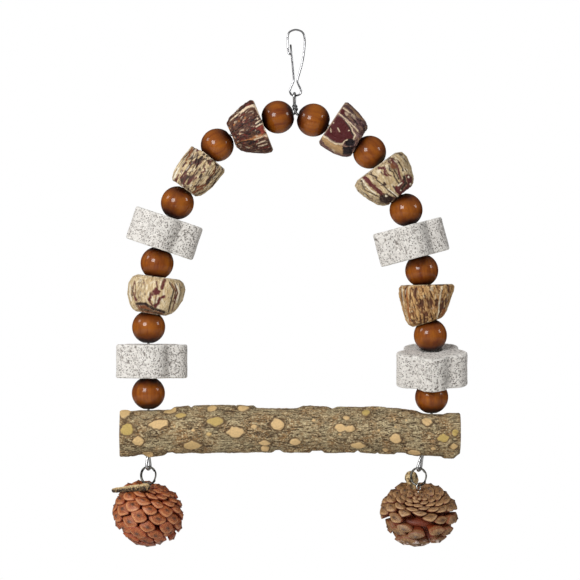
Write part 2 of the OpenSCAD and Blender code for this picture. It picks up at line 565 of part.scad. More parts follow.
// One scale: a tapering woody wedge from the core to a lozenge face with a raised middle
scale_face_share = 0.235;
module cone_scale(share, turn, r, h, openness) {
  polar = acos(1 - 1.93 * share);
  out = unit([sin(polar) / r, 0, cos(polar) / h]);
  down = [out.z, 0, -out.x];
  side = [0, 1, 0];
  open = openness * ease(clamp01((share - 0.35) / 0.65));
  face_mid = [r * sin(polar), 0, h * cos(polar)] * (0.965 - 0.05 * open) + down * r * 0.16 * open;
  half_w = r * scale_face_share * (1 - 0.25 * pow(abs(cos(polar)), 3));
  half_h = r * scale_face_share * mix(0.72, 0.5, open);
  root = [r * sin(polar), 0, h * cos(polar)] * 0.3 - down * r * 0.12;
  face = [face_mid + side * half_w, face_mid - down * half_h, face_mid - side * half_w, face_mid + down * half_h];
  umbo = face_mid + out * r * 0.055;
  heel = [for (p = face) mix(root, p, 0.16)];
  points = concat(heel, face, [umbo]);
  faces = [[0, 1, 2, 3], [0, 4, 5, 1], [1, 5, 6, 2], [2, 6, 7, 3], [3, 7, 4, 0],
    [4, 8, 5], [5, 8, 6], [6, 8, 7], [7, 8, 4]];
  rotate([0, 0, turn]) hull() polyhedron(points = points, faces = faces);
}

// The broken stalk left on a cone: [start, end] in shares of the cone's hanging depth, and its two widths
left_stub = [[-1.2, 0.3, 0.83], [-0.06, 0.36, 0.98], 0.18, 0.3];
right_stub = [[-0.16, 0.5, 1.34], [-0.12, 0.3, 0.7], 0.38, 0.3];
module stub_twig(stub) {
  hull() {
    translate(stub[0] * cone_hang) sphere(d = stub[2] * cone_hang, $fn = 10);
    translate(stub[1] * cone_hang) sphere(d = stub[3] * cone_hang, $fn = 10);
  }
}

module left_bead_1() bead(left_arm, 0);
module left_bead_2() bead(left_arm, 2);
module left_bead_3() bead(left_arm, 4);
module left_bead_4() bead(left_arm, 6);
module left_bead_5() bead(left_arm, 8);
module left_bead_6() bead(left_arm, 10);
module right_bead_1() bead(right_arm, 0);
module right_bead_2() bead(right_arm, 2);
module right_bead_3() bead(right_arm, 4);
module right_bead_4() bead(right_arm, 6);
module right_bead_5() bead(right_arm, 8);
module right_bead_6() bead(right_arm, 10);
module left_husk_1() husk(left_arm, 1, [0.36, 0.2, 0.16]);
module left_husk_2() husk(left_arm, 3, [0.6, 0.45, 0.3]);
module left_husk_3() husk(left_arm, 7, [0.66, 0.52, 0.36]);
module right_husk_1() husk(right_arm, 1, [0.42, 0.18, 0.15]);
module right_husk_2() husk(right_arm, 3, [0.6, 0.42, 0.3]);
module right_husk_3() husk(right_arm, 7, [0.62, 0.45, 0.26]);
module left_stone_1() stone(left_arm, 5);
module left_stone_2() stone(left_arm, 9);
module right_stone_1() stone(right_arm, 5);
module right_stone_2() stone(right_arm, 9);
module left_ring() split_ring(left_arm);
module right_ring() split_ring(right_arm);
module left_cone_eye() cone_eye(left_arm);
module right_cone_eye() cone_eye(right_arm);
module left_cone() cone(left_arm, left_cone_w, left_cone_h, [14, 22, 0], 0.45, [0.68, 0.33, 0.18], left_stub);
module right_cone() cone(right_arm, right_cone_w, right_cone_h, [30, 2, 0], 1, [0.6, 0.42, 0.27], right_stub);

hook_frame();
hook_gate();
arch_wire();
perch();
left_bead_1();
left_bead_2();
left_bead_3();
left_bead_4();
left_bead_5();
left_bead_6();
right_bead_1();
right_bead_2();
right_bead_3();
right_bead_4();
right_bead_5();
right_bead_6();
left_husk_1();
left_husk_2();
left_husk_3();
right_husk_1();
right_husk_2();
right_husk_3();
left_stone_1();
left_stone_2();
right_stone_1();
right_stone_2();
left_ring();
right_ring();
left_cone_eye();
right_cone_eye();
left_cone();
right_cone();
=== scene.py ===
import json
import math

import bpy
import numpy as np
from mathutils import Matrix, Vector


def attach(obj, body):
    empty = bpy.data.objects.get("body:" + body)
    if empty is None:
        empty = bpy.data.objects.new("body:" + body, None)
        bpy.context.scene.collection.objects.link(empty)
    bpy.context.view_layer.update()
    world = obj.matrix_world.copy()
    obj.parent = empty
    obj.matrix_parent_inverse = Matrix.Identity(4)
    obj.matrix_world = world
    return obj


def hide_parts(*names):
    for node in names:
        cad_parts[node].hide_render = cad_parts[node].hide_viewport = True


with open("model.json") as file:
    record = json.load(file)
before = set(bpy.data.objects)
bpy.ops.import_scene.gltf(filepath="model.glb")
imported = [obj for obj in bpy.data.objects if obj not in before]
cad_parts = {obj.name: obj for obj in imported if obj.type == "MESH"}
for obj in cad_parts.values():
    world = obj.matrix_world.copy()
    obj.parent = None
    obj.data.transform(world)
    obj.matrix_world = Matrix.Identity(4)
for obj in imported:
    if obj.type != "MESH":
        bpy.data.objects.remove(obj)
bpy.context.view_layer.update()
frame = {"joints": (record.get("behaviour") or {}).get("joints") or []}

scene = bpy.context.scene
MM = 0.001

# ---------------------------------------------------------------------------------------------
# The studio. The swing hangs in front of white paper, lit by one large soft box from the upper
# left of the camera, a strip on either side and the white walls. The camera stands 2.4 m away,
# level with the middle of the swing, as in a catalogue photograph.
CAMERA_AWAY = 2400 * MM
PHOTO_ACROSS = 348 * MM
PHOTO_MIDDLE = (-3.6 * MM, -155.6 * MM)
FLOOR_Z = -420 * MM
FLOOR_R, FLOOR_SIDES = 1100 * MM, 64
LIGHT_AWAY = 1600 * MM
# Each light: name, direction from the swing, size in metres, power in watts
STUDIO_LIGHTS = [("key", (-0.46, -0.83, 0.33), 0.62, 18),
                 ("left_strip", (-0.84, -0.16, 0.52), 0.42, 4.2),
                 ("right_strip", (0.89, -0.27, 0.37), 0.42, 4.8)]
# The white walls are brightest towards one direction; their light over that span, dimmest to brightest
WALL_LIGHT_WAY, WALL_LIGHT_SPAN, WALL_LIGHT = (-0.15, -0.75, 0.65), (-0.6, 0.8), (0.02, 0.34)

camera_lens = bpy.data.cameras.new("camera")
camera_lens.lens = camera_lens.sensor_width * CAMERA_AWAY / PHOTO_ACROSS
camera_lens.clip_end = 20
camera = bpy.data.objects.new("camera", camera_lens)
camera.location = (PHOTO_MIDDLE[0], -CAMERA_AWAY, PHOTO_MIDDLE[1])
camera.rotation_euler = (math.pi / 2, 0, 0)
scene.collection.objects.link(camera)
scene.camera = camera
scene.view_settings.view_transform = "Standard"

middle = np.array([PHOTO_MIDDLE[0], 0, PHOTO_MIDDLE[1]])
for light_name, toward, light_size, watts in STUDIO_LIGHTS:
    softbox = bpy.data.lights.new(light_name, "AREA")
    softbox.size, softbox.energy = light_size, watts
    lamp = bpy.data.objects.new(light_name, softbox)
    away = np.array(toward) / np.linalg.norm(toward)
    lamp.location = middle + away * LIGHT_AWAY
    lamp.rotation_euler = Vector(away).to_track_quat("Z", "Y").to_euler()
    scene.collection.objects.link(lamp)


def add_node(tree, kind, inputs=None, **settings):
    """A node with its settings and inputs; an input is a value or another node's output."""
    made = tree.nodes.new(kind)
    for key, value in settings.items():
        setattr(made, key, value)
    for key, value in (inputs or {}).items():
        if isinstance(value, bpy.types.NodeSocket):
            tree.links.new(value, made.inputs[key])
        else:
            made.inputs[key].default_value = value
    return made


def ramp(tree, value, low, high, start=0.0, end=1.0):
    """A value's span from low to high turned into start to end, and held beyond it."""
    return add_node(tree, "ShaderNodeMapRange", {"Value": value, "From Min": low, "From Max": high,
                                                 "To Min": start, "To Max": end}).outputs[0]


def colour(red, green, blue):
    """A colour as seen on paper, 0 to 255, turned into the light a shader wants."""
    seen = [channel / 255 for channel in (red, green, blue)]
    return tuple(c / 12.92 if c <= 0.04045 else ((c + 0.055) / 1.055) ** 2.4 for c in seen) + (1,)


paper = bpy.data.worlds.new("white_paper")
scene.world = paper
paper.use_nodes = True
walls = paper.node_tree
walls.nodes.clear()
heading = add_node(walls, "ShaderNodeTexCoord").outputs["Generated"]
towards_light = add_node(walls, "ShaderNodeVectorMath", {0: heading, 1: WALL_LIGHT_WAY},
                         operation="DOT_PRODUCT").outputs["Value"]
shade = ramp(walls, towards_light, *WALL_LIGHT_SPAN, *WALL_LIGHT)
seen_directly = add_node(walls, "ShaderNodeLightPath").outputs["Is Camera Ray"]
strength = add_node(walls, "ShaderNodeMix", {"Factor": seen_directly, "A": shade, "B": 1.0}).outputs[0]
backdrop = add_node(walls, "ShaderNodeBackground", {"Color": (1, 1, 1, 1), "Strength": strength})
add_node(walls, "ShaderNodeOutputWorld", {"Surface": backdrop.outputs[0]})


def finish_material(name, **constants):
    """A new material: returns it, its node tree and its shader, with constant inputs set."""
    made = bpy.data.materials.new(name)
    made.use_nodes = True
    shader = made.node_tree.nodes["Principled BSDF"]
    for key, value in constants.items():
        shader.inputs[key.replace("_", " ")].default_value = value
    return made, made.node_tree, shader


floor_mesh = bpy.data.meshes.new("floor")
floor_turns = np.linspace(0, 2 * math.pi, FLOOR_SIDES, endpoint=False)
floor_mesh.from_pydata([(FLOOR_R * math.cos(a), FLOOR_R * math.sin(a), FLOOR_Z) for a in floor_turns],
                       [], [list(range(FLOOR_SIDES))])
floor = bpy.data.objects.new("floor", floor_mesh)
scene.collection.objects.link(floor)
floor_mesh.materials.append(finish_material("pale_floor", Roughness=0.8,
                                            Base_Color=colour(236, 235, 232))[0])


# ---------------------------------------------------------------------------------------------
# The hook. One length of 1.1 mm spring wire, bright nickel plated, makes the crook, the back and
# the eye that the arch hangs in. The other leg of the same wire is the gate: it springs inwards
# and closes behind the catch. Dark patches are painted on the plating where the wire was cut and
# in tight bends: painted shadow and dark reflections.
HOOK_WIRE = 1.1
HOOK_WIDTH, HOOK_LENGTH = 10.2, 39.0
HOOK_GAP = 0.16
# How far the catch's first points stand aside of the gate, as shares of a wire and the gap
CATCH_REACH = [1, 1, 0.75, 0.2]
# Both outlines run in shares of the hook's width and length, from the middle of the crook's top
GATE_FOOT = (-0.12, -0.765)
HOOK_OUTLINE = [(-0.30, -0.372), (-0.40, -0.368), (-0.455, -0.335), (-0.478, -0.26), (-0.492, -0.16),
                (-0.478, -0.09), (-0.36, -0.03), (0, 0), (0.37, -0.036), (0.50, -0.12), (0.51, -0.24),
                (0.44, -0.40), (0.31, -0.56), (0.13, -0.72), (0.08, -0.775), (0.14, -0.83),
                (0.30, -0.925), (0.22, -0.98), (-0.04, -1), (-0.27, -0.985), (-0.36, -0.93),
                (-0.30, -0.875), (-0.17, -0.80), GATE_FOOT]
GATE_OUTLINE = [GATE_FOOT, (-0.16, -0.66), (-0.215, -0.50), (-0.27, -0.36), (-0.315, -0.235)]
WIRE_SIDES, WIRE_STEPS = 18, 8
CAP_TURNS = (0.5, 1.0, 1.45)
# The plating's blotches to each metre
PLATING_BLOTCHES = 900.0
# The dull tone serves both tarnish and the painted shadow and dark reflections on the hook
SILVER, TARNISH_AND_SHADE = colour(164, 164, 166), colour(44, 43, 42)


def plug(tree, shader, **sockets):
    """Joins outputs to the shader's inputs by their names."""
    for key, source in sockets.items():
        tree.links.new(source, shader.inputs[key.replace("_", " ")])


def grid_faces(rows, columns, round_rows=False):
    """The four-sided faces of a grid of points, closed round each row, and across the rows if asked."""
    r, c = np.meshgrid(np.arange(rows if round_rows else rows - 1), np.arange(columns), indexing="ij")
    r2, c2 = (r + 1) % rows, (c + 1) % columns
    corners = [r * columns + c, r * columns + c2, r2 * columns + c2, r2 * columns + c]
    return np.stack(corners, -1).reshape(-1, 4)


def tube_faces(rows, columns):
    """The faces of a tube of points whose two ends are closed."""
    faces = [list(face) for face in grid_faces(rows, columns)]
    return faces + [list(range(columns))[::-1], list(range((rows - 1) * columns, rows * columns))]


def make_piece(name, points, faces, material, body, node, masks):
    """A smooth mesh with its masks, which rides on a body and replaces a node."""
    mesh = bpy.data.meshes.new(name)
    mesh.from_pydata(points.tolist(), [], [list(map(int, face)) for face in faces])
    for mask, values in masks.items():
        values = np.asarray(values, np.float32)
        flat = values.ndim == 1
        layer = mesh.attributes.new(mask, "FLOAT" if flat else "FLOAT_VECTOR", "POINT")
        layer.data.foreach_set("value" if flat else "vector", values.ravel())
    mesh.shade_smooth()
    mesh.materials.append(material)
    piece = bpy.data.objects.new(name, mesh)
    scene.collection.objects.link(piece)
    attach(piece, body)
    if node:
        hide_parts(node)


def unit(vector):
    return np.asarray(vector, float) / np.linalg.norm(vector)


def ease(t):
    t = np.clip(t, 0, 1)
    return t * t * (3 - 2 * t)


def smooth_line(points, steps):
    """A smooth curve through points, with a number of steps between neighbours."""
    points = np.asarray(points, float)
    padded = np.vstack([points[:1], points, points[-1:]])
    line = []
    for a, b, c, d in zip(padded, padded[1:], padded[2:], padded[3:]):
        for t in np.arange(steps) / steps:
            line.append((b * 2 + (c - a) * t + (a * 2 - b * 5 + c * 4 - d) * t * t
                         + (b * 3 - a - c * 3 + d) * t ** 3) / 2)
    return np.array(line + [points[-1]])


def round_line(sides, power=1.0):
    """The cosines and sines of a circle's points; a power below 1 squares it, above 1 points it."""
    turns = np.linspace(0, 2 * math.pi, sides, endpoint=False)
    return (np.sign(part) * abs(part) ** power for part in (np.cos(turns), np.sin(turns)))


def bent_wire(path, wide, thick, first, sides=WIRE_SIDES, squareness=2.0):
    """A tube along a path in mm with rounded ends; also how far along the path each point lies."""
    path = np.asarray(path, float)
    headings = np.gradient(path, axis=0)
    headings /= np.linalg.norm(headings, axis=1)[:, None]
    across = [unit(first - headings[0] * np.dot(first, headings[0]))]
    for heading in headings[1:]:
        across.append(unit(across[-1] - heading * np.dot(across[-1], heading)))
    cap = thick / 2
    rows = [(path[0] - headings[0] * cap * math.sin(a), 0, math.cos(a)) for a in CAP_TURNS[::-1]]
    rows += [(point, i, 1.0) for i, point in enumerate(path)]
    rows += [(path[-1] + headings[-1] * cap * math.sin(a), -1, math.cos(a)) for a in CAP_TURNS]
    cos, sin = round_line(sides, 2 / squareness)
    points, shares = [], []
    for centre, i, scale in rows:
        side = np.cross(headings[i], across[i])
        section = across[i] * wide / 2 * cos[:, None] + side * thick / 2 * sin[:, None]
        points.append(centre + scale * section)
        shares.append(np.full(sides, (i if i >= 0 else len(path) - 1) / (len(path) - 1)))
    return np.vstack(points), tube_faces(len(rows), sides), np.concatenate(shares)


def spots(shares, places):
    """How strongly each share along a wire is marked; each place: middle, half length, amount."""
    marks = np.zeros(len(shares))
    for place, reach, amount in places:
        marks = np.maximum(marks, amount * ease(1.5 - 1.5 * abs(shares - place) / reach))
    return marks


def worked_out(tree, operation, *values, clamp=False):
    """A number worked out from others, where each is a number or a node's output."""
    return add_node(tree, "ShaderNodeMath", dict(enumerate(values)), operation=operation,
                    use_clamp=clamp).outputs[0]


def carried(tree, name, part="Fac"):
    """A mask that a piece's mesh carries, or with the part Vector a place in mm."""
    return add_node(tree, "ShaderNodeAttribute", attribute_name=name).outputs[part]


def mottle(tree, at, scale, detail, roughness=0.5, distortion=0.0):
    """Uneven grey from 0 to 1, with about so many blotches in each unit of its place."""
    return add_node(tree, "ShaderNodeTexNoise", {"Vector": at, "Scale": scale, "Detail": detail,
                                                 "Roughness": roughness,
                                                 "Distortion": distortion}).outputs[0]


def wear_and_shade_group():
    """Uneven plating with painted shade: turns a mask of tarnish and painted shade into a dull-or-bright
    mask, a roughness and a height.
    """
    group = bpy.data.node_groups.new("worn_and_shaded_plating", "ShaderNodeTree")
    for name, value in (("Tarnish_and_shade", 0.0), ("Scale", PLATING_BLOTCHES), ("Roughness", 0.2)):
        socket = group.interface.new_socket(name, in_out="INPUT", socket_type="NodeSocketFloat")
        socket.default_value = value
    for name in ("Mask", "Roughness", "Height"):
        group.interface.new_socket(name, in_out="OUTPUT", socket_type="NodeSocketFloat")
    start = add_node(group, "NodeGroupInput").outputs
    place = add_node(group, "ShaderNodeTexCoord").outputs["Object"]
    blotches = mottle(group, place, start["Scale"], 4.0, 0.6)
    lifted = worked_out(group, "SUBTRACT", blotches, 0.5)
    mask = worked_out(group, "MULTIPLY_ADD", lifted, 0.7, start["Tarnish_and_shade"], clamp=True)
    rough = worked_out(group, "MULTIPLY_ADD", mask, 0.35, start["Roughness"])
    end = add_node(group, "NodeGroupOutput")
    for name, source in (("Mask", mask), ("Roughness", rough), ("Height", blotches)):
        group.links.new(source, end.inputs[name])
    return group


worn_and_shaded_plating = wear_and_shade_group()


def mix_colours(tree, factor, first, second, blend="MIX"):
    """The colour between two others, where each is a colour or a node's output."""
    mixed = add_node(tree, "ShaderNodeMix", data_type="RGBA", blend_type=blend)
    for key, value in (("Factor_Float", factor), ("A_Color", first), ("B_Color", second)):
        socket = next(s for s in mixed.inputs if s.identifier == key)
        if isinstance(value, bpy.types.NodeSocket):
            tree.links.new(value, socket)
        else:
            socket.default_value = value
    return next(s for s in mixed.outputs if s.identifier == "Result_Color")


def surface_bump(tree, height, distance, strength=1.0):
    """A normal from a height in 0 to 1 that stands for a depth in mm."""
    return add_node(tree, "ShaderNodeBump", {"Height": height, "Distance": distance * MM,
                                             "Strength": strength}).outputs[0]


def plated_metal(name, bright, dull, roughness):
    """Metal that goes from a bright to a dull tone where its mask of tarnish and painted shade says."""
    made, tree, shader = finish_material(name, Metallic=1.0)
    wear_and_shade = add_node(tree, "ShaderNodeGroup", {}, node_tree=worn_and_shaded_plating)
    tree.links.new(carried(tree, "tarnish_and_shade"), wear_and_shade.inputs["Tarnish_and_shade"])
    wear_and_shade.inputs["Roughness"].default_value = roughness
    plug(tree, shader, Base_Color=mix_colours(tree, wear_and_shade.outputs["Mask"], bright, dull),
         Roughness=wear_and_shade.outputs["Roughness"], Normal=surface_bump(tree, wear_and_shade.outputs["Height"], 0.02))
    return made


def hook_place(share, reach=0.0):
    """A point of the hook's outline in mm; the top of the crook's wire is at zero height."""
    return (share[0] * HOOK_WIDTH, -reach * (HOOK_WIRE + HOOK_GAP),
            share[1] * HOOK_LENGTH + HOOK_WIRE / 2 * (1 + share[1]))


hook_finish = plated_metal("hook_wire", SILVER, TARNISH_AND_SHADE, 0.16)
hook_reach = CATCH_REACH + [0] * (len(HOOK_OUTLINE) - len(CATCH_REACH))
hook_path = smooth_line([hook_place(s, r) for s, r in zip(HOOK_OUTLINE, hook_reach)], WIRE_STEPS)
hook_points, hook_faces, hook_shares = bent_wire(hook_path, HOOK_WIRE, HOOK_WIRE, (0, 1, 0))
# Painted shadow and dark reflections: spots along the hook's wire are darkened
hook_painted_shade = spots(hook_shares, [(0.0, 0.02, 0.9), (0.25, 0.03, 0.7), (0.36, 0.02, 0.55),
                                 (0.77, 0.02, 0.95), (0.84, 0.025, 0.95)])
make_piece("hook", hook_points * MM, hook_faces, hook_finish, "hook", "hook_frame",
           {"tarnish_and_shade": hook_painted_shade})

gate_path = smooth_line([hook_place(share) for share in GATE_OUTLINE], WIRE_STEPS)
gate_path[0] = gate_path[0] + unit(gate_path[1] - gate_path[0]) * HOOK_GAP
gate_points, gate_faces, gate_shares = bent_wire(gate_path, HOOK_WIRE, HOOK_WIRE, (0, 1, 0))
# Painted shadow: the gate's tip is darkened
gate_painted_shade = spots(gate_shares, [(1.0, 0.24, 1.0)])
make_piece("gate", gate_points * MM, gate_faces, hook_finish, "gate", "hook_gate",
           {"tarnish_and_shade": gate_painted_shade})

# ---------------------------------------------------------------------------------------------
# The arch wire. One 1.5 mm galvanised wire is doubled into a hanging loop, twisted once about
# itself, and run down both sides through the beads, husks and stones. Below the perch each end
# turns back up into the wood, and so leaves an eye for a split ring.
UP = np.array([0.0, 0.0, 1.0])
ARCH_WIRE = 1.5
LINK_PLAY = 0.15
LOOP_HALF_WIDTH, LOOP_LENGTH, TWIST_LENGTH = 1.9, 7.0, 3.2
STRAND_R = 0.9
LOOP_TURN = 8
# Points of the wire round the loop's top, down the twist, on to the first bead, and round an eye
LOOP_POINTS, TWIST_POINTS, BLEND_POINTS, EYE_POINTS = 7, 19, 11, 17
BEAD_D, STACK_PLAY = 20.0, 0.2
BORE_DEPTH = BEAD_D / 2 * 0.62
EYE_HALF_WIDTH, EYE_DROP, TAIL_LENGTH = 2.0, 8.4, 7.0
RING_TURN = 33
PERCH_D = {"left": 27.2, "right": 25.8}
HOLE_LEAN = {"left": 0, "right": 13}
STRUNG = ["bead_1", "husk_1", "bead_2", "husk_2", "bead_3", "stone_1", "bead_4", "husk_3", "bead_5",
          "stone_2", "bead_6"]
SIDES = {"left": 1, "right": -1}
joint_at = {joint["child"]: joint for joint in frame["joints"]}


def place_of(body):
    """Where a body's joint is, in mm, and the joint's axis."""
    return np.array(joint_at[body]["pos_m"]) / MM, unit(joint_at[body]["axis"])


def turning(axis, degrees):
    """The turn by an angle about the axis x, y or z, numbered from 0, as a matrix."""
    first, second = (axis + 1) % 3, (axis + 2) % 3
    turn = np.eye(3)
    turn[first, first] = turn[second, second] = math.cos(math.radians(degrees))
    turn[second, first] = math.sin(math.radians(degrees))
    turn[first, second] = -turn[second, first]
    return turn


link_x, link_z = place_of("arch")[0][[0, 2]]
loop_top = link_z + HOOK_WIRE / 2 + LINK_PLAY + ARCH_WIRE / 2
twist_top, twist_foot = loop_top - LOOP_LENGTH, loop_top - LOOP_LENGTH - TWIST_LENGTH
arch_middle = -0.3 * STRAND_R
loop_side = turning(2, -LOOP_TURN)[:, 1]
eye_side = turning(2, -RING_TURN)[:, 1]


def link_point(x, turn, reach, z):
    return np.array([x, 0, z]) + turning(2, turn) @ loop_side * reach


def perch_foot(arm):
    """Where the wire enters the perch, and its way down through the hole."""
    centre, up = place_of(arm + "_bead_6")
    lean = math.radians(HOLE_LEAN[arm])
    return centre - up * (BEAD_D / 2 + STACK_PLAY), np.array([-math.sin(lean), 0, -math.cos(lean)])


def eye_frame(arm):
    """The point where the wire leaves the perch, its way down, and the way across its eye."""
    foot, down = perch_foot(arm)
    across = unit(eye_side - down * np.dot(eye_side, down))
    return foot + down * PERCH_D[arm] / math.cos(math.radians(HOLE_LEAN[arm])), down, across


def strand(arm):
    """Half of the wire, from beside the loop's top to its end inside the perch."""
    side = SIDES[arm]
    points = [link_point(link_x, 0, side * LOOP_HALF_WIDTH * math.sin(a),
                         loop_top - LOOP_HALF_WIDTH * (1 - math.cos(a)))
              for a in np.linspace(0, math.pi / 2, LOOP_POINTS)[1:]]
    points += [link_point(link_x, 0, side * (LOOP_HALF_WIDTH + (STRAND_R - LOOP_HALF_WIDTH) * ease(t)),
                          loop_top - LOOP_HALF_WIDTH + (twist_top - loop_top + LOOP_HALF_WIDTH) * t)
               for t in (0.25, 0.5, 0.75)]
    points += [link_point(link_x + (arch_middle - link_x) * t, (360 - LOOP_TURN) * t, side * STRAND_R,
                          twist_top - TWIST_LENGTH * t) for t in np.linspace(0, 1, TWIST_POINTS)]
    centre, up = place_of(arm + "_bead_1")
    start = link_point(arch_middle, -LOOP_TURN, side * STRAND_R, twist_foot)
    end = centre + up * BORE_DEPTH
    bend = 2.6 * STRAND_R
    handles = [start, start - UP * bend, end + up * bend, end]
    for t in np.linspace(0, 1, BLEND_POINTS)[1:]:
        weights = [(1 - t) ** 3, 3 * t * (1 - t) ** 2, 3 * t * t * (1 - t), t ** 3]
        points.append(sum(w * h for w, h in zip(weights, handles)))
    stops = [place_of(arm + "_" + name) for name in STRUNG]
    for (a, up_a), (b, up_b) in zip(stops, stops[1:]):
        span = np.linalg.norm(b - a)
        for t in (0.2, 0.4, 0.6, 0.8, 1.0):
            points.append(a * (2 * t ** 3 - 3 * t ** 2 + 1) + b * (3 * t ** 2 - 2 * t ** 3)
                          - up_a * span * (t ** 3 - 2 * t ** 2 + t) - up_b * span * (t ** 3 - t ** 2))
    exit_point, down, across = eye_frame(arm)
    arc_drop = EYE_DROP - EYE_HALF_WIDTH

    def eye(over, below):
        return exit_point + across * over + down * below
    points += [perch_foot(arm)[0], eye(STRAND_R * 0.6, -TAIL_LENGTH), eye(STRAND_R, -TAIL_LENGTH / 3)]
    widening = [(STRAND_R + (EYE_HALF_WIDTH - STRAND_R) * ease(t), arc_drop * t)
                for t in (0.15, 0.3, 0.5, 0.7, 0.85)]
    points += [eye(*pair) for pair in widening]
    points += [eye(EYE_HALF_WIDTH * math.cos(a), arc_drop + EYE_HALF_WIDTH * math.sin(a))
               for a in np.linspace(0, math.pi, EYE_POINTS)]
    points += [eye(-over, below) for over, below in reversed(widening)]
    points += [eye(-STRAND_R, -TAIL_LENGTH / 3), eye(-STRAND_R, -TAIL_LENGTH)]
    return points


arch_finish = plated_metal("arch_wire", colour(190, 190, 190), TARNISH_AND_SHADE, 0.22)
arch_path = strand("left")[::-1] + [link_point(link_x, 0, 0, loop_top)] + strand("right")
arch_points, arch_faces, _ = bent_wire(arch_path, ARCH_WIRE, ARCH_WIRE, (0, 1, 0))
arch_marks = np.where(arch_points[:, 2] > twist_top - 1, 0.3, 0.12)
arch_marks = np.where(abs(arch_points[:, 2] - twist_foot - TWIST_LENGTH / 2) < 3, 0.6, arch_marks)
make_piece("arch", arch_points * MM, arch_faces, arch_finish, "arch", "arch_wire",
           {"tarnish_and_shade": arch_marks})

# ---------------------------------------------------------------------------------------------
# The beads. Twelve 20 mm beads are turned from light wood, stained amber and dipped in clear
# lacquer. The stain soaks deeper into the end grain, so each bead is darkest round its wire hole,
# where the drill left a small rounded edge, and lightest in a belt round its middle.
BEAD_BORE = 4.0
BEAD_RIM = 0.7
BEAD_TURNS, BEAD_ROWS, BEAD_CORNER_ROWS, BEAD_BORE_ROWS = 72, 52, 5, 6
BEAD_UNEVEN = 0.006
SWIRL, END_RAGGED, END_SEED = 0.8, 0.14, 50
AMBER, HONEY, STAIN, END_GRAIN = (colour(108, 46, 5), colour(172, 98, 16), colour(62, 20, 3),
                                  colour(34, 11, 3))


def lattice(cell, seed):
    """An even random number from 0 to 1 for each cell of whole numbers."""
    mixed = (cell[..., 0] * 374761393 + cell[..., 1] * 668265263 + cell[..., 2] * 1274126177
             + seed * 362437) & 0xFFFFFFFF
    mixed = ((mixed ^ (mixed >> 13)) * 1103515245) & 0xFFFFFFFF
    return ((mixed ^ (mixed >> 16)) & 0xFFFF) / 0xFFFF


def noise(at, seed=0):
    """Smooth noise from -1 to 1 at points in space."""
    at = np.asarray(at, float)
    cell = np.floor(at).astype(np.int64)
    t = at - cell
    t = t * t * (3 - 2 * t)
    total = np.zeros(at.shape[:-1])
    for corner in np.ndindex(2, 2, 2):
        weight = np.prod(np.where(np.array(corner) == 1, t, 1 - t), axis=-1)
        total += weight * lattice(cell + np.array(corner), seed)
    return total * 2 - 1


def strung_frame(body):
    """A strung piece's middle in mm and its own directions: across, deep and up the wire."""
    centre, up = place_of(body)
    deep = np.array([0.0, 1, 0])
    return centre, np.array([np.cross(deep, up), deep, up])


def to_swing(points, body):
    """Points of a strung piece's own frame, in mm, put on the swing, in metres."""
    centre, directions = strung_frame(body)
    return (np.asarray(points) @ directions + centre) * MM


def bead_profile():
    """Half of a bead's section from the lower hole, round the outside and back up the hole."""
    half, bore = BEAD_D / 2, BEAD_BORE / 2
    start = math.asin((bore + BEAD_RIM) / half)
    sphere = [(half * math.sin(a), -half * math.cos(a))
              for a in np.linspace(start, math.pi - start, BEAD_ROWS)]
    edge_z = -sphere[0][1] - BEAD_RIM * 0.25
    corner = [(bore + BEAD_RIM * (1 - math.cos(a)), edge_z - BEAD_RIM * 0.9 * (1 - math.sin(a)))
              for a in np.linspace(0, math.pi / 2, BEAD_CORNER_ROWS)[:-1]]
    bore_end = edge_z - BEAD_RIM * 1.2
    bore_wall = [(bore, z) for z in np.linspace(bore_end, -bore_end, BEAD_BORE_ROWS)]
    return np.array([(r, -z) for r, z in corner] + sphere + corner[::-1] + bore_wall)


def overlaid(tree, tone, *layers):
    """A tone with other tones laid over it, each by its own amount."""
    for amount, over in layers:
        tone = mix_colours(tree, amount, tone, over)
    return tone


def drawn_out(tree, at, shares):
    """A place with its directions shortened to shares, which draws a pattern out along them."""
    return add_node(tree, "ShaderNodeVectorMath", {0: at, 1: shares}, operation="MULTIPLY").outputs[0]


def bead_material():
    made, tree, shader = finish_material("lacquered_bead_wood", Coat_Weight=0.5, Coat_Roughness=0.035,
                                         Roughness=0.5, Specular_IOR_Level=0.1)
    drawn = drawn_out(tree, carried(tree, "grain", "Vector"), (1.0, 1.0, 0.16))
    bands, lines = mottle(tree, drawn, 0.30, 4.0, 0.55, 0.35), mottle(tree, drawn, 2.2, 3.0, 0.6)
    ragged = worked_out(tree, "MULTIPLY_ADD", bands, 0.3, carried(tree, "end_grain"))
    tone = overlaid(tree, AMBER, (ramp(tree, bands, 0.28, 0.8), HONEY),
                    (ramp(tree, lines, 0.52, 0.75, 0.0, 0.2), STAIN),
                    (ramp(tree, ragged, 0.15, 0.75), STAIN),
                    (ramp(tree, ragged, 0.54, 0.96), END_GRAIN))
    plug(tree, shader, Base_Color=tone, Normal=surface_bump(tree, lines, 0.03))
    return made


bead_wood = bead_material()
profile = bead_profile()
bead_round = np.stack([*(np.outer(profile[:, 0], part) for part in round_line(BEAD_TURNS)),
                       np.repeat(profile[:, 1][:, None], BEAD_TURNS, 1)], -1).reshape(-1, 3)
bead_faces = grid_faces(len(profile), BEAD_TURNS, round_rows=True)
beads = [arm + "_" + name for arm in SIDES for name in STRUNG if name.startswith("bead")]
for bead_number, body in enumerate(beads, 1):
    uneven = noise(bead_round / 9 + bead_number * 31) * BEAD_UNEVEN - BEAD_UNEVEN
    swirl = noise(bead_round / 7 + 7, bead_number)[:, None] * SWIRL
    bead_end = np.abs(bead_round[:, 2] / (BEAD_D / 2)) ** 2 \
        + END_RAGGED * noise(bead_round / 4, bead_number + END_SEED)
    make_piece(body + "_wood", to_swing(bead_round * (1 + uneven[:, None]), body), bead_faces, bead_wood,
               body, body,
               {"grain": bead_round + swirl + bead_number * np.array([37.0, 23.0, 11.0]),
                "end_grain": bead_end})

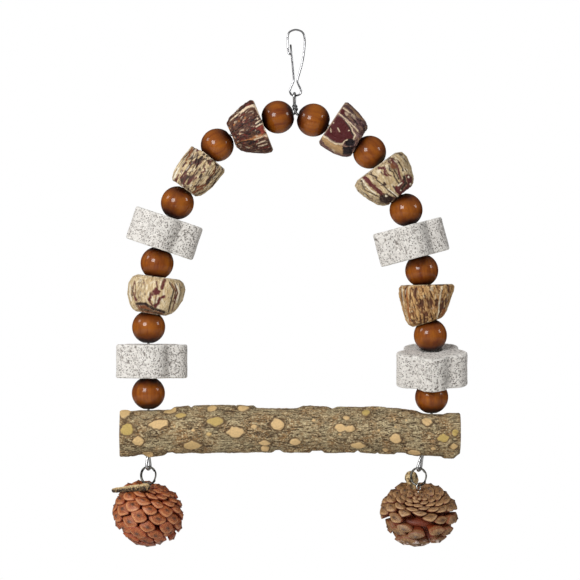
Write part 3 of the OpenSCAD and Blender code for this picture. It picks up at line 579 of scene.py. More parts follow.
# ---------------------------------------------------------------------------------------------
# The husk blocks. Six blocks are sawn from the thick husk of a palm nut, broad end up, and left
# with their fibrous skin. Each is drilled along the fibres and hollowed a little at both ends,
# where the beads nest. The skin is cream, tan or purple-brown, with dark cracks and red streaks.
HUSK_BORE, BORE_ROWS = 4.4, 8
HUSK_SEAT, SEAT_ROOM, SEAT_DROP = 4.6, 0.35, 0.1
HUSK_DEPTH_SHARE = 0.95
HUSK_HOLLOW = 20.0
HUSK_RIB = 0.025
HUSK_DRAW = 0.16
THREAD_WANDER = 0.9
# What each block's own number is added to for the seed of its noise
LUMP, CHIP, PIT, FISSURE, RAGGED, FLECK, WANDER, THREAD = 40, 50, 60, 70, 80, 90, 100, 110
HUSK_LEVELS = [0, 0.08, 0.25, 0.55, 0.8, 0.92, 1]
HUSK_TURNS, HUSK_ROWS, HUSK_END_ROWS = 264, 68, 16
FIBRE_RELIEF, PIT_DEPTH, CRACK_DEPTH, CHIP_DEPTH = 0.8, 0.35, 0.7, 1.8
SAWN_EDGE, SAW_ROUGHNESS, VALLEY_SHADE = 0.7, 0.12, 0.35
# Each block: finish, how cracked it is, width, length of its hole, rib seed, widths down the block as
# shares of the width, then for the broad and the narrow end: shift aside, tilt and hollow
HUSKS = {
    "left_husk_1": ("husk_purple_brown", 0.95, 34.4, 19.6, 1, [0.94, 1, 0.97, 0.83, 0.7, 0.58, 0.43],
                    (0.1, 0.06), (-0.05, 0.04), (0.025, 0.03)),
    "left_husk_2": ("husk_cream", 1.25, 26, 21.9, 3, [0.92, 1, 0.99, 0.99, 0.9, 0.8, 0.67],
                    (0.12, 0.04), (-0.095, 0), (0.1, 0.045)),
    "left_husk_3": ("husk_cream", 0.55, 35, 18.2, 7, [0.74, 0.9, 1, 0.97, 0.83, 0.7, 0.5],
                    (0.08, 0.05), (0, 0.02), (0.11, 0.12)),
    "right_husk_1": ("husk_red", 0.6, 31, 18.5, 4, [0.94, 1, 0.99, 0.94, 0.84, 0.75, 0.62],
                     (0.07, -0.02), (-0.066, -0.06), (0, 0.11)),
    "right_husk_2": ("husk_cream", 0.7, 36.8, 20.6, 6, [0.8, 0.96, 1, 0.9, 0.77, 0.63, 0.45],
                     (-0.1, -0.04), (0.06, 0.08), (0.05, 0.075)),
    "right_husk_3": ("husk_tan", 1.05, 34, 18.9, 10, [0.92, 1, 0.98, 0.87, 0.76, 0.66, 0.52],
                     (0.035, -0.065), (-0.1, 0.13), (0.075, 0.12)),
}
# The marks of each skin, seen from the front, in mm right of and above the middle of the hole: what
# they are, half their width (0 for a filled patch), and the points that each of them passes
HUSK_MARKS = {
    "left_husk_1": [
        ("pale", 0.85, [(5.4, 12.5), (2.6, 12.3), (-0.8, 10.6), (-3, 8.9)]),
        ("pale", 0.35, [(-3.6, 9.7), (-3.9, 8.4), (-9.4, 3.6)]),
        ("dark", 0.4, [(1.5, 15.6), (-3.9, 10.3)]),
        ("pale", 0.35, [(6.2, 1.4), (10.1, 4.2)], [(6.5, -0.6), (10.4, 1.6)]),
        ("pale", 0.6, [(7.3, 4.4)]),
        ("pale", 0.35, [(5.4, 12.5), (7, 9.2), (9, 5.3), (10.7, 1.4), (11.8, -2.8), (14.9, -7)]),
        ("red", 0, [(7.3, -1.4), (10.4, 0.5), (12.3, -5.1), (10.1, -5.1)]),
        ("warm", 1.2, [(13.7, -5.9), (9.6, -6.2), (5.4, -7.6)]),
        ("warm", 0.6, [(5.4, -7.6), (1.5, -8.7), (-5.8, -10.6)]),
        ("pale", 0.3, [(13.7, -6.6), (9.6, -7), (5.4, -8.3)]),
        ("dark", 0.4, [(-6.4, -11.8), (-3, -10.1), (2.6, -9.2), (5.4, -9.8)]),
        ("pale", 0.25, [(7, -11), (12, -9)], [(8, -12.5), (13, -11)]),
        ("warm", 0.7, [(-3.9, 3)], [(-6.9, 1.1)], [(-10, -1.1)]), ("warm", 0.6, [(-0.2, 5)]),
        ("warm", 0.7, [(-3.3, -4.8)]), ("warm", 0.6, [(-8, -6.7)]),
        ("dark", 0.3, [(-8.6, -3.7), (-5, -2.3), (-1.9, 0.3)])],
    "left_husk_2": [
        ("dark", 0.4, [(2.6, 9.5), (1.8, 7.1), (1.3, 5.3)],
                      [(5.3, 8.7), (3.4, 7.1), (3.2, 3.9), (1.6, 1.8)], [(8.3, 9), (12.3, 7.9)]),
        ("dark", 0.35, [(5.6, 6.6), (8, 7.1)]), ("red", 0.5, [(10.1, 3.6), (12, 6.3), (13.1, 6.1)]),
        ("red", 0.45, [(5, -0.9), (7.4, -0.4), (6.9, 1.5)]),
        ("red", 0.4, [(1.3, -4.7), (2.1, -3.9)], [(-3.8, -7.9), (-2.2, -6.3)],
                     [(-5.9, -7.9), (-4.9, -5.5)]), ("red", 0.35, [(9.1, -5.2), (10.1, -4.4)]),
        ("red", 0.4, [(-11.3, -6), (-9.2, -2)]), ("red", 0.35, [(-8.1, -3.9), (-5.1, -0.9)]),
        ("warm", 0.6, [(-1.1, 14.1), (-3, 9.5), (-4.6, 6.9)], [(-4.3, 5)]),
        ("warm", 0.5, [(-2.2, 5)], [(-6.5, 0.2)], [(12.3, -0.4), (14.9, 1.5)],
                      [(10.9, -3.1), (13.1, -1.4)]),
        ("warm", 0.6, [(2.9, -10), (7.7, -8.4)], [(0.2, -13.2), (5.8, -10.6)]),
        ("pale", 0.6, [(-12.9, -4.7), (-9.2, 1.8)]),
        ("dark", 0.4, [(19.5, 1.2), (16.6, -2.3)], [(12.8, -6.5), (12, -7.1)])],
    "left_husk_3": [
        ("warm", 0, [(-8.8, -5.3), (-0.9, -5.8), (3.5, -8), (8.5, -10.3), (7.8, -13.5), (3.5, -12.8),
                     (-3.7, -11.4), (-7.3, -9.2)]),
        ("dark", 0.75, [(-8.8, -5.3), (-3.2, -5.2), (-0.9, -6.8), (3.5, -8.8), (8.5, -10.3)]),
        ("dark", 0.35, [(-6.2, -8.4), (0, -9.6), (6, -11.6)]), ("dark", 1, [(0.5, -7.2), (2, -8.4)]),
        ("red", 0.45, [(3.5, 8), (4.2, 4.5)]), ("red", 1, [(8.4, 8.6), (7, 4)]),
        ("red", 0, [(0.9, 2.7), (3.5, 4.8), (6.3, 2), (5.3, 0.1), (2.4, -0.4), (0.2, 0.4)]),
        ("red", 0.75, [(1.3, 0.5), (-0.9, -2.7), (-0.2, -4.6)]),
        ("red", 0.45, [(-0.2, -4.6), (1.3, -6.3)]),
        ("red", 0.85, [(8.2, -1), (5.8, -2), (4.9, -4.9), (2.7, -7)]),
        ("red", 0.25, [(3.5, -0.2), (2.7, -5.6)]), ("pale", 0.2, [(1, -0.8), (2.2, -4.6)]),
        ("pale", 0.25, [(4.7, -0.8), (3.5, -4.6)]),
        ("dark", 0.38, [(12, 7.3), (14.2, 3), (12.8, -3.5), (11, -10.6)]),
        ("red", 0.35, [(15, 5.9), (16.4, 0.9), (14.6, -4.9), (12.8, -9.9)]),
        ("dark", 0.38, [(17.8, 6.6), (18.6, 1.6), (17.1, -4.2), (15, -9.9)]),
        ("pale", 0.4, [(15.6, 6.6), (17.4, 1.4), (15.8, -4.4)]),
        ("warm", 0.35, [(13, 6.6), (15.1, 2.4), (13.6, -4)]),
        ("red", 0.35, [(-9.9, 8.2), (-10.8, 2.3), (-9.1, -3.5)]),
        ("dark", 0.25, [(-11.6, 5.2), (-11.8, -1.3)]),
        ("pale", 0.5, [(-13.2, 6.2), (-13.3, 0.6), (-12.2, -3.2)])],
    "right_husk_1": [
        ("red", 0, [(-4.4, 10.2), (-1, 8.2), (4, 3.2), (5.9, -1.6), (5.1, -4.6), (1.8, -4.9),
                    (-1.6, -6.6), (-3.8, -6.3), (-7.7, -4.1), (-11.9, -1.3), (-8.9, 2.6), (-6.1, 6.5)]),
        ("warm", 0, [(-12.5, -3), (-10, -4.4), (-7.5, -6.4), (-4.4, -7.8), (-1, -7.8), (0.6, -14.4),
                     (-6.1, -11.3), (-11.6, -7.7), (-13.9, -3.5)]),
        ("red", 0, [(-2.7, 14.1), (1, 14.1), (1, 9.9), (-1.5, 10.9)]),
        ("pale", 0.4, [(-4.4, 12.4), (-1.9, 10.4), (1.2, 7.9), (6.8, 2.9), (8.5, 0.7)],
                      [(1.2, 7.1), (4.6, 2.9), (5.4, 0.4), (7.1, -1.6), (5.9, -4.4)]),
        ("dark", 0.3, [(1.2, 6.2), (4, 2.4), (4.9, -0.4), (5.9, -2.2)]),
        ("pale", 0.4, [(-4.4, 11.8), (-7.7, 5.4), (-9.7, 2.9), (-13.6, -2.7)]),
        ("pale", 0.35, [(-6.1, 5.4)]),
        ("pale", 0.25, [(-3.5, 2.3), (-2.4, 0.1)], [(-8, 2.1), (-7.5, -0.2)]),
        ("pale", 0.35, [(3.2, 0.9)]),
        ("pale", 0.45, [(-12.5, -2.4), (-10, -3.8), (-7.5, -5.8), (-4.4, -7.2), (-1, -7.2)]),
        ("dark", 0, [(1.2, -4.6), (5.9, -4.4), (5.9, -8), (3, -9), (1, -8)]),
        ("pale", 0.35, [(-0.8, -7.7), (0.1, -5.8), (2.3, -4.6)]),
        ("warm", 0.9, [(0.6, 18.3), (3.2, 17.7), (5.9, 14.9), (9.3, 10.4), (12.4, 8.2)]),
        ("pale", 0.4, [(0.1, 14.4), (3.7, 11.8)]),
        ("dark", 0.4, [(7.2, 7.4), (8.6, 5.2)], [(12, 4.5), (13.4, 2)]),
        ("dark", 0, [(-0.5, -9.1), (5.1, -9.1), (5.1, -14.7), (-0.5, -14.7)])],
    "right_husk_2": [
        ("red", 0.7, [(-8.3, 5.7), (-5.5, 6), (-4.4, 4.6), (-4.7, 2.3), (-3, 1.5)]),
        ("red", 0.35, [(-4.4, 6.8), (-3.6, 4.3), (-2.5, 2.3), (-0.5, 1.2)]),
        ("warm", 0, [(-0.8, 9), (0.9, 9.9), (2.8, 6.3), (1.5, 5.1), (-1.3, 6.3)]),
        ("red", 0.7, [(-0.5, 12.1), (0.9, 9.9), (2.6, 8.2), (4, 5.4), (4.5, 2.3), (5.6, -1.6)]),
        ("dark", 0.4, [(-1.6, 7.4), (-1.3, 4.6), (0.9, 3.5), (1.5, 0.9), (3.1, -1.6), (4.2, -3)],
                      [(4.8, 9.3), (6.5, 6.3), (7, 4.6)], [(1.5, 4.9), (3.1, 2.3), (4.2, -0.4)]),
        ("red", 0, [(7, 0.7), (9.8, 2.9), (12.6, 1.2), (14.6, -2.4), (13.5, -4.9), (9.6, -7.7),
                    (4.8, -10.5), (2.3, -8), (1.7, -4.9), (4.8, -3)]),
        ("dark", 0.8, [(7.6, 1.2), (8.6, -2.8), (6, -6.4)]), ("pale", 0.6, [(10.1, 0.9)]),
        ("pale", 0.7, [(11.5, -3.2)]), ("pale", 0.35, [(5.9, -2.7), (3.7, -4.4)]),
        ("pale", 0.4, [(5.4, -7.2)]),
        ("dark", 0.35, [(-14.2, 2.3), (-10.3, 0.7), (-9.2, -1.6), (-5.8, -4.1), (-2.5, -7.4),
                        (1.5, -10.5), (3.1, -11.9)]), ("pale", 0.35, [(-2.5, -6.6), (3.7, -11.1)]),
        ("red", 1.2, [(-16.7, 0.1), (-13.1, -3.8), (-9.7, -6.6), (-5.8, -9.9), (-1.3, -12.2),
                      (0.9, -12.5)]),
        ("dark", 0.35, [(-18.4, -3.5), (-16.7, -7.2), (-12.5, -9.4), (-8.6, -11.1)]),
        ("pale", 0.35, [(-18.7, -0.4), (-15.9, -4.4), (-13.9, -6.6), (-10, -9.2)]),
        ("dark", 0, [(-8, -11.1), (-4.1, -9.4), (1.5, -12.2), (-1.9, -15.5), (-8, -15.8)]),
        ("pale", 0.7, [(-3.6, -10.8)]), ("dark", 0.4, [(4.5, 16), (6.2, 14.4)]),
        ("dark", 0.5, [(-20.3, -3.8)]), ("dark", 0.6, [(-18.9, -2.1)])],
    "right_husk_3": [
        ("warm", 0.5, [(-13.4, 10.6), (-12.6, 2.8), (-12, -4.3), (-10.6, -13)]),
        ("pale", 0.6, [(-15.9, 9.7), (-15.6, 2.8), (-14, -5.4), (-11.2, -13.1)]),
        ("pale", 0.4, [(8.9, 10), (7.5, 2.8), (6.9, -5.4), (5.3, -12)]),
        ("warm", 0.9, [(10.2, -4.3), (9.7, -9.3)]), ("dark", 0.35, [(-7.7, 8.6), (-7.4, 3.9)]),
        ("dark", 0.4, [(-3, 8.6), (-3, 6.7)], [(-4.6, 2), (-4.6, -0.7)]),
        ("dark", 0.45, [(0.6, 0.9), (0.9, -3.2)]),
        ("dark", 0.35, [(-1.9, 4.5), (-1.6, 2.3)], [(1.4, 7), (3.4, 2.8)]),
        ("dark", 0.3, [(-11.2, 4.2), (-11, 0.1)], [(-8.5, -1.3), (-7.7, -4.3)]),
        ("dark", 0.55, [(-2.4, -7.1), (-2.1, -13.7)]),
        ("dark", 0.4, [(-4.6, -7.6), (-4.4, -14.2)], [(2, -6.5), (3.1, -9.8)]),
        ("dark", 0.45, [(6.4, 1.5)]), ("dark", 0.5, [(11.6, -1)]),
        ("dark", 0.4, [(-7.9, -10.4)], [(12.5, 10.3)], [(2, 10.6)])],
}
# Each skin: its body, its fibres, then what the dark, red, warm and pale marks look like
HUSK_SKINS = {"husk_purple_brown": ((60, 32, 28), (100, 68, 52), (24, 12, 14), (128, 48, 34),
                                    (160, 102, 58), (228, 206, 176)),
              "husk_red": ((84, 54, 58), (130, 100, 94), (26, 16, 22), (78, 20, 22), (188, 150, 104),
                           (222, 200, 168)),
              "husk_cream": ((196, 170, 126), (228, 210, 174), (44, 24, 22), (92, 34, 36), (118, 68, 38),
                             (238, 228, 206)),
              "husk_tan": ((176, 132, 80), (214, 180, 126), (70, 34, 16), (102, 52, 26), (150, 90, 46),
                           (218, 204, 176))}


def layered_noise(at, octaves, seed=0):
    """Noise with finer and weaker layers added, from about -1 to 1."""
    at = np.asarray(at, float)
    return sum(noise(at * 2 ** k, seed + k) / 2 ** k for k in range(octaves)) / (2 - 0.5 ** (octaves - 1))


def drawn_noise(at, draw, size, seed, shift=0, octaves=2):
    """Layered noise in lumps of a size in mm, drawn out up the wire where draw is below 1."""
    return layered_noise(at * [1, 1, draw] / size + shift, octaves, seed)


def away_from_line(points, line):
    """How far points in a plane lie from a line through the given points, in mm."""
    ends = line if len(line) > 1 else [line[0], line[0]]
    nearest = np.full(len(points), np.inf)
    for a, b in zip(np.array(ends[:-1], float), np.array(ends[1:], float)):
        length = max(np.dot(b - a, b - a), 1e-9)
        t = np.clip((points - a) @ (b - a) / length, 0, 1)
        nearest = np.minimum(nearest, np.linalg.norm(points - a - t[:, None] * (b - a), axis=1))
    return nearest


def inside_patch(points, line):
    """Which points in a plane lie within the patch that the line closes."""
    inside = np.zeros(len(points), bool)
    for (ax, ay), (bx, by) in zip(line, line[1:] + line[:1]):
        spans = (ay > points[:, 1]) != (by > points[:, 1])
        crossing = ax + (points[:, 1] - ay) * (bx - ax) / ((by - ay) or 1e-9)
        inside ^= spans & (points[:, 0] < crossing)
    return inside


def skin_marks(seen, marks, ragged):
    """The masks of a skin's marks at points seen from the front; later marks cover earlier ones."""
    masks = {kind: np.zeros(len(seen)) for kind in ("dark", "red", "warm", "pale")}
    for kind, half, line in ((kind, half, line) for kind, half, *lines in marks for line in lines):
        away = away_from_line(seen, line if half else line + line[:1])
        if half:
            strength = ease((half * (1 + 0.35 * ragged) + 0.25 - away) / 0.5)
        else:
            away = np.where(inside_patch(seen, line), -away, away) + 0.45 * ragged
            strength = ease(0.5 - away / 0.5)
        for other in masks:
            masks[other] *= 1 - strength
        masks[kind] = np.maximum(masks[kind], strength)
    return masks


def seat_reach(body, end):
    """How wide a block's end is worn for its bead, which the bent wire sets a little aside."""
    arm, name = body.split("_", 1)
    own, up = place_of(body)
    apart = place_of(arm + "_" + STRUNG[STRUNG.index(name) - end])[0] - own
    return HUSK_SEAT + np.linalg.norm(apart - up * np.dot(apart, up))


def seat_height(x, y, body, end, seat, room=0.0, drop=0.0):
    """How high a strung piece may stand at a place beside its hole, clear of the bead at that end."""
    return seat / 2 - drop + np.maximum(0, np.hypot(x, y) - seat_reach(body, end) - room)


def husk_grid(body, wide, seat, seed, radii, shift, tilt, hollow):
    """A block's points in its own frame, how far down each lies, and which lie on the skin."""
    turns = np.linspace(0, 2 * math.pi, HUSK_TURNS, endpoint=False)
    cos, sin = round_line(HUSK_TURNS)
    rib = 1 + HUSK_RIB * (0.5 * np.sin(5 * turns) + 0.5 * np.sin(11 * turns)
                          * math.cos(math.radians(47 * seed)))

    def outline(level):
        reach = wide / 2 * np.interp(level, HUSK_LEVELS, radii)
        aside = wide * (shift[0] + (shift[1] - shift[0]) * level)
        return reach * rib * cos + aside, reach * rib * sin * HUSK_DEPTH_SHARE

    def end_height(x, end):
        which = 0 if end > 0 else 1
        return end * (seat / 2 + HUSK_HOLLOW * hollow[which]) + x * tilt[which]

    bore_x, bore_y = HUSK_BORE / 2 * cos, HUSK_BORE / 2 * sin
    rows, downs, skins = [], [], []

    def add(x, y, z, down, skin):
        rows.append(np.stack([x, y, z], -1))
        downs.append(down)
        skins.append(skin)

    for end in (1, -1):
        down = (1 - end) // 2
        rim_x, rim_y = outline(down)
        shares = np.linspace(0, 1, HUSK_END_ROWS) ** 0.8
        for share in (shares[:-1] if end > 0 else shares[-2::-1]):
            x, y = bore_x + (rim_x - bore_x) * share, bore_y + (rim_y - bore_y) * share
            height = np.minimum(end * end_height(x, end), seat_height(x, y, body, end, seat))
            add(x, y, end * height, down, 0)
        if end > 0:
            for level in np.linspace(0, 1, HUSK_ROWS):
                x, y = outline(level)
                add(x, y, end_height(x, 1) * (1 - level) + end_height(x, -1) * level, level, 1)
    for z in np.linspace(-seat / 2, seat / 2, BORE_ROWS)[1:-1]:
        add(bore_x, bore_y, np.full(HUSK_TURNS, z), 0.5, -1)
    return np.vstack(rows), np.repeat(downs, HUSK_TURNS), np.repeat(skins, HUSK_TURNS)


def skin_material(name, body, fibres, dark, red, warm, pale):
    made, tree, shader = finish_material(name, Roughness=0.62, Specular_IOR_Level=0.3)
    drawn = drawn_out(tree, carried(tree, "fibre", "Vector"), (1.0, 1.0, 0.2))
    fine, broad = mottle(tree, drawn, 1.15, 4.0, 0.65), mottle(tree, drawn, 0.45, 3.0, distortion=0.8)
    # Painted shade: the groove mask gives a red to dark tone to the grooves and to the valleys between the
    # fibres
    groove_and_shade_tone = mix_colours(tree, ramp(tree, broad, 0.32, 0.56), red, dark)
    tone = overlaid(tree, body, (ramp(tree, fine, 0.46, 0.60), fibres),
                    (ramp(tree, broad, 0.5, 0.78, 0.0, 0.55), warm),
                    (carried(tree, "groove_and_valley_shade"), groove_and_shade_tone))
    patchy = ramp(tree, fine, 0.25, 0.5, 0.72, 1.0)
    for mask, mark in (("warm", warm), ("red", red), ("pale", pale), ("dark", dark)):
        tone = mix_colours(tree, worked_out(tree, "MULTIPLY", carried(tree, mask), patchy), tone, mark)
    plug(tree, shader, Base_Color=tone, Normal=surface_bump(tree, fine, 0.35, 0.8))
    return made


husk_finishes = {name: skin_material(name, *(colour(*tone) for tone in tones))
                 for name, tones in HUSK_SKINS.items()}
for husk_number, (body, (slot, many, wide, seat, *shape)) in enumerate(HUSKS.items()):
    points, downs, skins = husk_grid(body, wide, seat, *shape)
    outwards = points * [1, 1, 0]
    outwards /= np.linalg.norm(outwards, axis=1)[:, None]
    ridges = drawn_noise(points, HUSK_DRAW, 2.6, husk_number, husk_number * 17, 3)
    lumps = noise(points / 6.0, husk_number + LUMP)
    pits = drawn_noise(points, 0.45, 1.5, husk_number + PIT)
    fissures = drawn_noise(points, 0.3, 1.9, husk_number + FISSURE, 5)
    chips = noise(points / 2.4, husk_number + CHIP)
    wavy = points + THREAD_WANDER * np.stack(
        [noise(points / 2.6 + 3, husk_number + WANDER + k) for k in range(3)], -1)
    threads = drawn_noise(wavy, 0.22, 1.7, husk_number + THREAD)
    grooves = np.maximum(ease((0.12 - abs(ridges)) / 0.12) * ease((lumps + many - 0.6) / 0.5),
                         ease((fissures + 0.45 * many - 0.62) / 0.16))
    grooves = np.maximum(grooves, 0.9 * ease((0.1 - abs(threads)) / 0.08)
                         * ease((many + lumps - 0.25) / 0.4))
    edge = np.minimum(downs, 1 - downs) * seat
    on_skin = skins == 1
    chipped = ease(1 - edge / SAWN_EDGE) * on_skin
    seen = (points @ strung_frame(body)[1])[:, [0, 2]]
    marks = skin_marks(seen, HUSK_MARKS[body], noise(points / 0.9, husk_number + RAGGED))
    faces_front = ease(abs(outwards[:, 1]) * 2.2 - 0.25) * on_skin
    marks = {kind: mask * faces_front for kind, mask in marks.items()}
    flecks = drawn_noise(points, 0.35, 1.3, husk_number + FLECK, 11)
    marks["pale"] = np.maximum(marks["pale"], 0.8 * ease((flecks - 0.34) / 0.12) * on_skin
                               * min(many, 0.6) * (1 - marks["red"]))
    marks["pale"] = np.maximum(marks["pale"], 0.6 * chipped)
    lowered = (FIBRE_RELIEF * (0.45 - 0.55 * ridges) + PIT_DEPTH * np.maximum(0, pits - 0.2)
               + CRACK_DEPTH * (grooves * 0.7 + marks["dark"] * 0.9) - 0.2 * marks["pale"]
               + chipped * SAWN_EDGE * (0.5 + 0.5 * pits)
               + CHIP_DEPTH * ease((chips - 0.3) / 0.3) * ease(1.2 - edge / 3))
    points = points - outwards * (lowered * on_skin)[:, None]
    sawn = (skins == 0) * ease((np.hypot(points[:, 0], points[:, 1]) - HUSK_SEAT) / 2)
    saw_marks = 1 + noise(points * [0.2, 1, 1] / 0.8, 5)
    points[:, 2] -= np.sign(points[:, 2]) * sawn * SAW_ROUGHNESS * saw_marks
    lowest, highest = (end * seat_height(*points.T[:2], body, end, seat, SEAT_ROOM, SEAT_DROP)
                       for end in (-1, 1))
    points[:, 2] = np.clip(points[:, 2], lowest, highest)
    # Painted shade: the valleys between the fibre ridges are darkened, more on the more cracked blocks
    shaded = ease((-0.05 - ridges) / 0.45) * VALLEY_SHADE
    marks["groove_and_valley_shade"] = np.maximum(grooves * 0.95, shaded * (0.5 + 0.5 * many)) * on_skin
    marks["fibre"] = points + husk_number * np.array([41.0, 17.0, 29.0])
    block_faces = grid_faces(len(points) // HUSK_TURNS, HUSK_TURNS, round_rows=True)
    make_piece(body + "_block", to_swing(points, body), block_faces, husk_finishes[slot], body, body,
               marks)

# ---------------------------------------------------------------------------------------------
# The pumice flowers. Four five-petalled flowers are stamped from light grey pumice, 44 mm across,
# with worn rims and open pores. The wire hole is worn wide at both ends, and the flowers don't
# sit quite true on it: two hang off their middle and one leans forward.
PETALS, PETAL_REACH, PETAL_R = 5, 13.4, 9.0
STONE_THICK, STONE_DROP, STONE_RIM = 20.6, 0.63, 1.4
STONE_TURNS, STONE_FACE_ROWS, STONE_SIDE_ROWS, STONE_RIM_ROWS = 384, 30, 48, 6
PORE_DEPTH, CRUMB_DEPTH, STONE_UNEVEN = 0.75, 0.7, 0.22
PETAL_SOFTNESS, SOFTNESS_SPAN = 9.0, 40
STONE_SEED, SEEDS_EACH = 200, 10
# Each flower: length of its hole, spin of the petals, shift aside in mm, lean forward in degrees
STONES = {"left_stone_1": (17.8, -8, 0, 0), "left_stone_2": (19.2, 3, 1.9, 0),
          "right_stone_1": (17.1, 6, -2.9, 0), "right_stone_2": (16.6, 0, 0, 13)}


def stone_grid(body, seat, spin, aside, lean):
    """A flower's points, which way each faces, and how near each is to a worn rim."""
    turns = np.linspace(0, 2 * math.pi, STONE_TURNS, endpoint=False)
    off_petal = (turns + math.pi / PETALS) % (2 * math.pi / PETALS) - math.pi / PETALS
    reach = PETAL_REACH * np.cos(off_petal) + np.sqrt(PETAL_R ** 2 - (PETAL_REACH * np.sin(off_petal)) ** 2)
    beside = np.arange(-SOFTNESS_SPAN, SOFTNESS_SPAN + 1)
    softened = np.exp(-(beside * 360 / STONE_TURNS / PETAL_SOFTNESS) ** 2)
    wrapped = np.concatenate([reach[-SOFTNESS_SPAN:], reach, reach[:SOFTNESS_SPAN]])
    reach = np.convolve(wrapped, softened / softened.sum(), "valid")
    round_way = np.stack([*round_line(STONE_TURNS), np.zeros(STONE_TURNS)], -1)
    spinning, leaning = turning(2, spin - 90), turning(0, lean)
    flower, middle = leaning @ spinning, np.array([aside, 0, -STONE_DROP])
    face_way = leaning[:, 2]
    bore = (spinning @ round_way.T).T * HUSK_BORE / 2
    rows, ways, rims = [], [], []

    def add(local, way, rim):
        rows.append(local)
        ways.append(way)
        rims.append(np.full(STONE_TURNS, float(rim)))

    def outline(height, inwards):
        return (flower @ (round_way * (reach - inwards)[:, None]).T).T \
            + middle + face_way * height

    half = STONE_THICK / 2
    for end in (1, -1):
        rim_line = outline(end * half, STONE_RIM)
        shares = np.linspace(0, 1, STONE_FACE_ROWS)
        for share in (shares[:-1] if end > 0 else shares[-2::-1]):
            flat = bore * (1 - share) + rim_line * share
            plane = middle[2] + (end * half + (middle[0] - flat[:, 0]) * face_way[0]
                                 + (middle[1] - flat[:, 1]) * face_way[1]) / face_way[2]
            flat[:, 2] = end * np.minimum(end * plane, seat_height(*flat.T[:2], body, end, seat))
            add(flat, np.tile(face_way * end, (STONE_TURNS, 1)), share > 0.93)
        side_way = (flower @ round_way.T).T
        bend = np.linspace(0, math.pi / 2, STONE_RIM_ROWS)
        if end > 0:
            for a in bend:
                add(outline(half - STONE_RIM * (1 - math.cos(a)), STONE_RIM * (1 - math.sin(a))),
                    face_way * math.cos(a) + side_way * math.sin(a), 1)
            for height in np.linspace(half - STONE_RIM, STONE_RIM - half, STONE_SIDE_ROWS)[1:-1]:
                add(outline(height, 0), side_way, 0)
            for a in bend[::-1]:
                add(outline(STONE_RIM * (1 - math.cos(a)) - half, STONE_RIM * (1 - math.sin(a))),
                    side_way * math.sin(a) - face_way * math.cos(a), 1)
    for height in np.linspace(-seat / 2, seat / 2, BORE_ROWS)[1:-1]:
        add(bore * [1, 1, 0] + [0, 0, height], -bore / (HUSK_BORE / 2), 0)
    return np.vstack(rows), np.vstack(ways), np.concatenate(rims)


def pumice_material():
    made, tree, shader = finish_material("pumice", Roughness=0.92)
    local = carried(tree, "grit", "Vector")
    specks = add_node(tree, "ShaderNodeTexVoronoi", {"Vector": local, "Scale": 0.85, "Randomness": 1.0})
    lit = ramp(tree, mottle(tree, local, 0.55, 5.0, 0.62), 0.3, 0.6)
    dotted = ramp(tree, specks.outputs["Distance"], 0.18, 0.38, 1.0, 0.0)
    tone = overlaid(tree, colour(206, 201, 195), (lit, colour(226, 222, 216)),
                    (dotted, colour(74, 67, 62)), (carried(tree, "worn"), colour(234, 231, 225)),
                    (carried(tree, "pore"), colour(112, 104, 97)))
    fine = mottle(tree, local, 3.2, 3.0)
    plug(tree, shader, Base_Color=tone, Normal=surface_bump(tree, fine, 0.3, 0.7))
    return made


pumice = pumice_material()
for stone_number, (body, sizes) in enumerate(STONES.items()):
    points, ways, rims = stone_grid(body, *sizes)
    seed = STONE_SEED + stone_number * SEEDS_EACH
    small = ease((noise(points / 0.7, seed) - 0.3) / 0.25)
    large = ease((noise(points / 1.5, seed + 1) - 0.6) / 0.18)
    crumbled = ease((noise(points / 3.2, seed + 2) - 0.45) / 0.3) * rims
    pores = np.maximum(0.7 * small, large)
    uneven = STONE_UNEVEN * (1 + layered_noise(points / 5, 2, seed + 3))
    points = points - ways * (uneven + PORE_DEPTH * pores + CRUMB_DEPTH * crumbled)[:, None]
    flower_faces = grid_faces(len(points) // STONE_TURNS, STONE_TURNS, round_rows=True)
    make_piece(body + "_flower", to_swing(points, body), flower_faces, pumice, body, body,
               {"pore": np.clip(pores * 0.85, 0, 1), "worn": rims * 0.6 * (1 - pores),
                "grit": points + stone_number * np.array([31.0, 53.0, 19.0])})

# ---------------------------------------------------------------------------------------------
# The perch. A 204 mm length of branch, a little bowed, keeps its grey-green bark, which is cracked
# along the grain. Its twigs are trimmed close, which leaves knobs with flat pale cut faces, and
# both ends are sawn square. The wire goes through it near either end.
PERCH_LENGTH, PERCH_END, PERCH_BOW = 204.0, 17.0, 2.8
PERCH_RIDGES = 0.012
KNOB_HEIGHT, KNOB_WIDTH = 1.4, 7.0
PERCH_STATIONS, PERCH_TURNS, PERCH_END_ROWS = 520, 212, 22
BARK_CRACKS, BARK_ROUGHNESS, RIM_DEPTH, CUT_DEPTH = 0.6, 0.9, 0.25, 0.18
BARK_R = 13
RAGGED_SEED, WANDER_SEED, CRACK_SEED, CRACKED_SEED, ROUGH_SEED = range(300, 305)
BURR_DEPTH, BURR_WIDTH = 0.35, 0.8
CORNER_DEPTH, CORNER_LENGTH, CORNER_TURN = 3.2, 4.5, -80
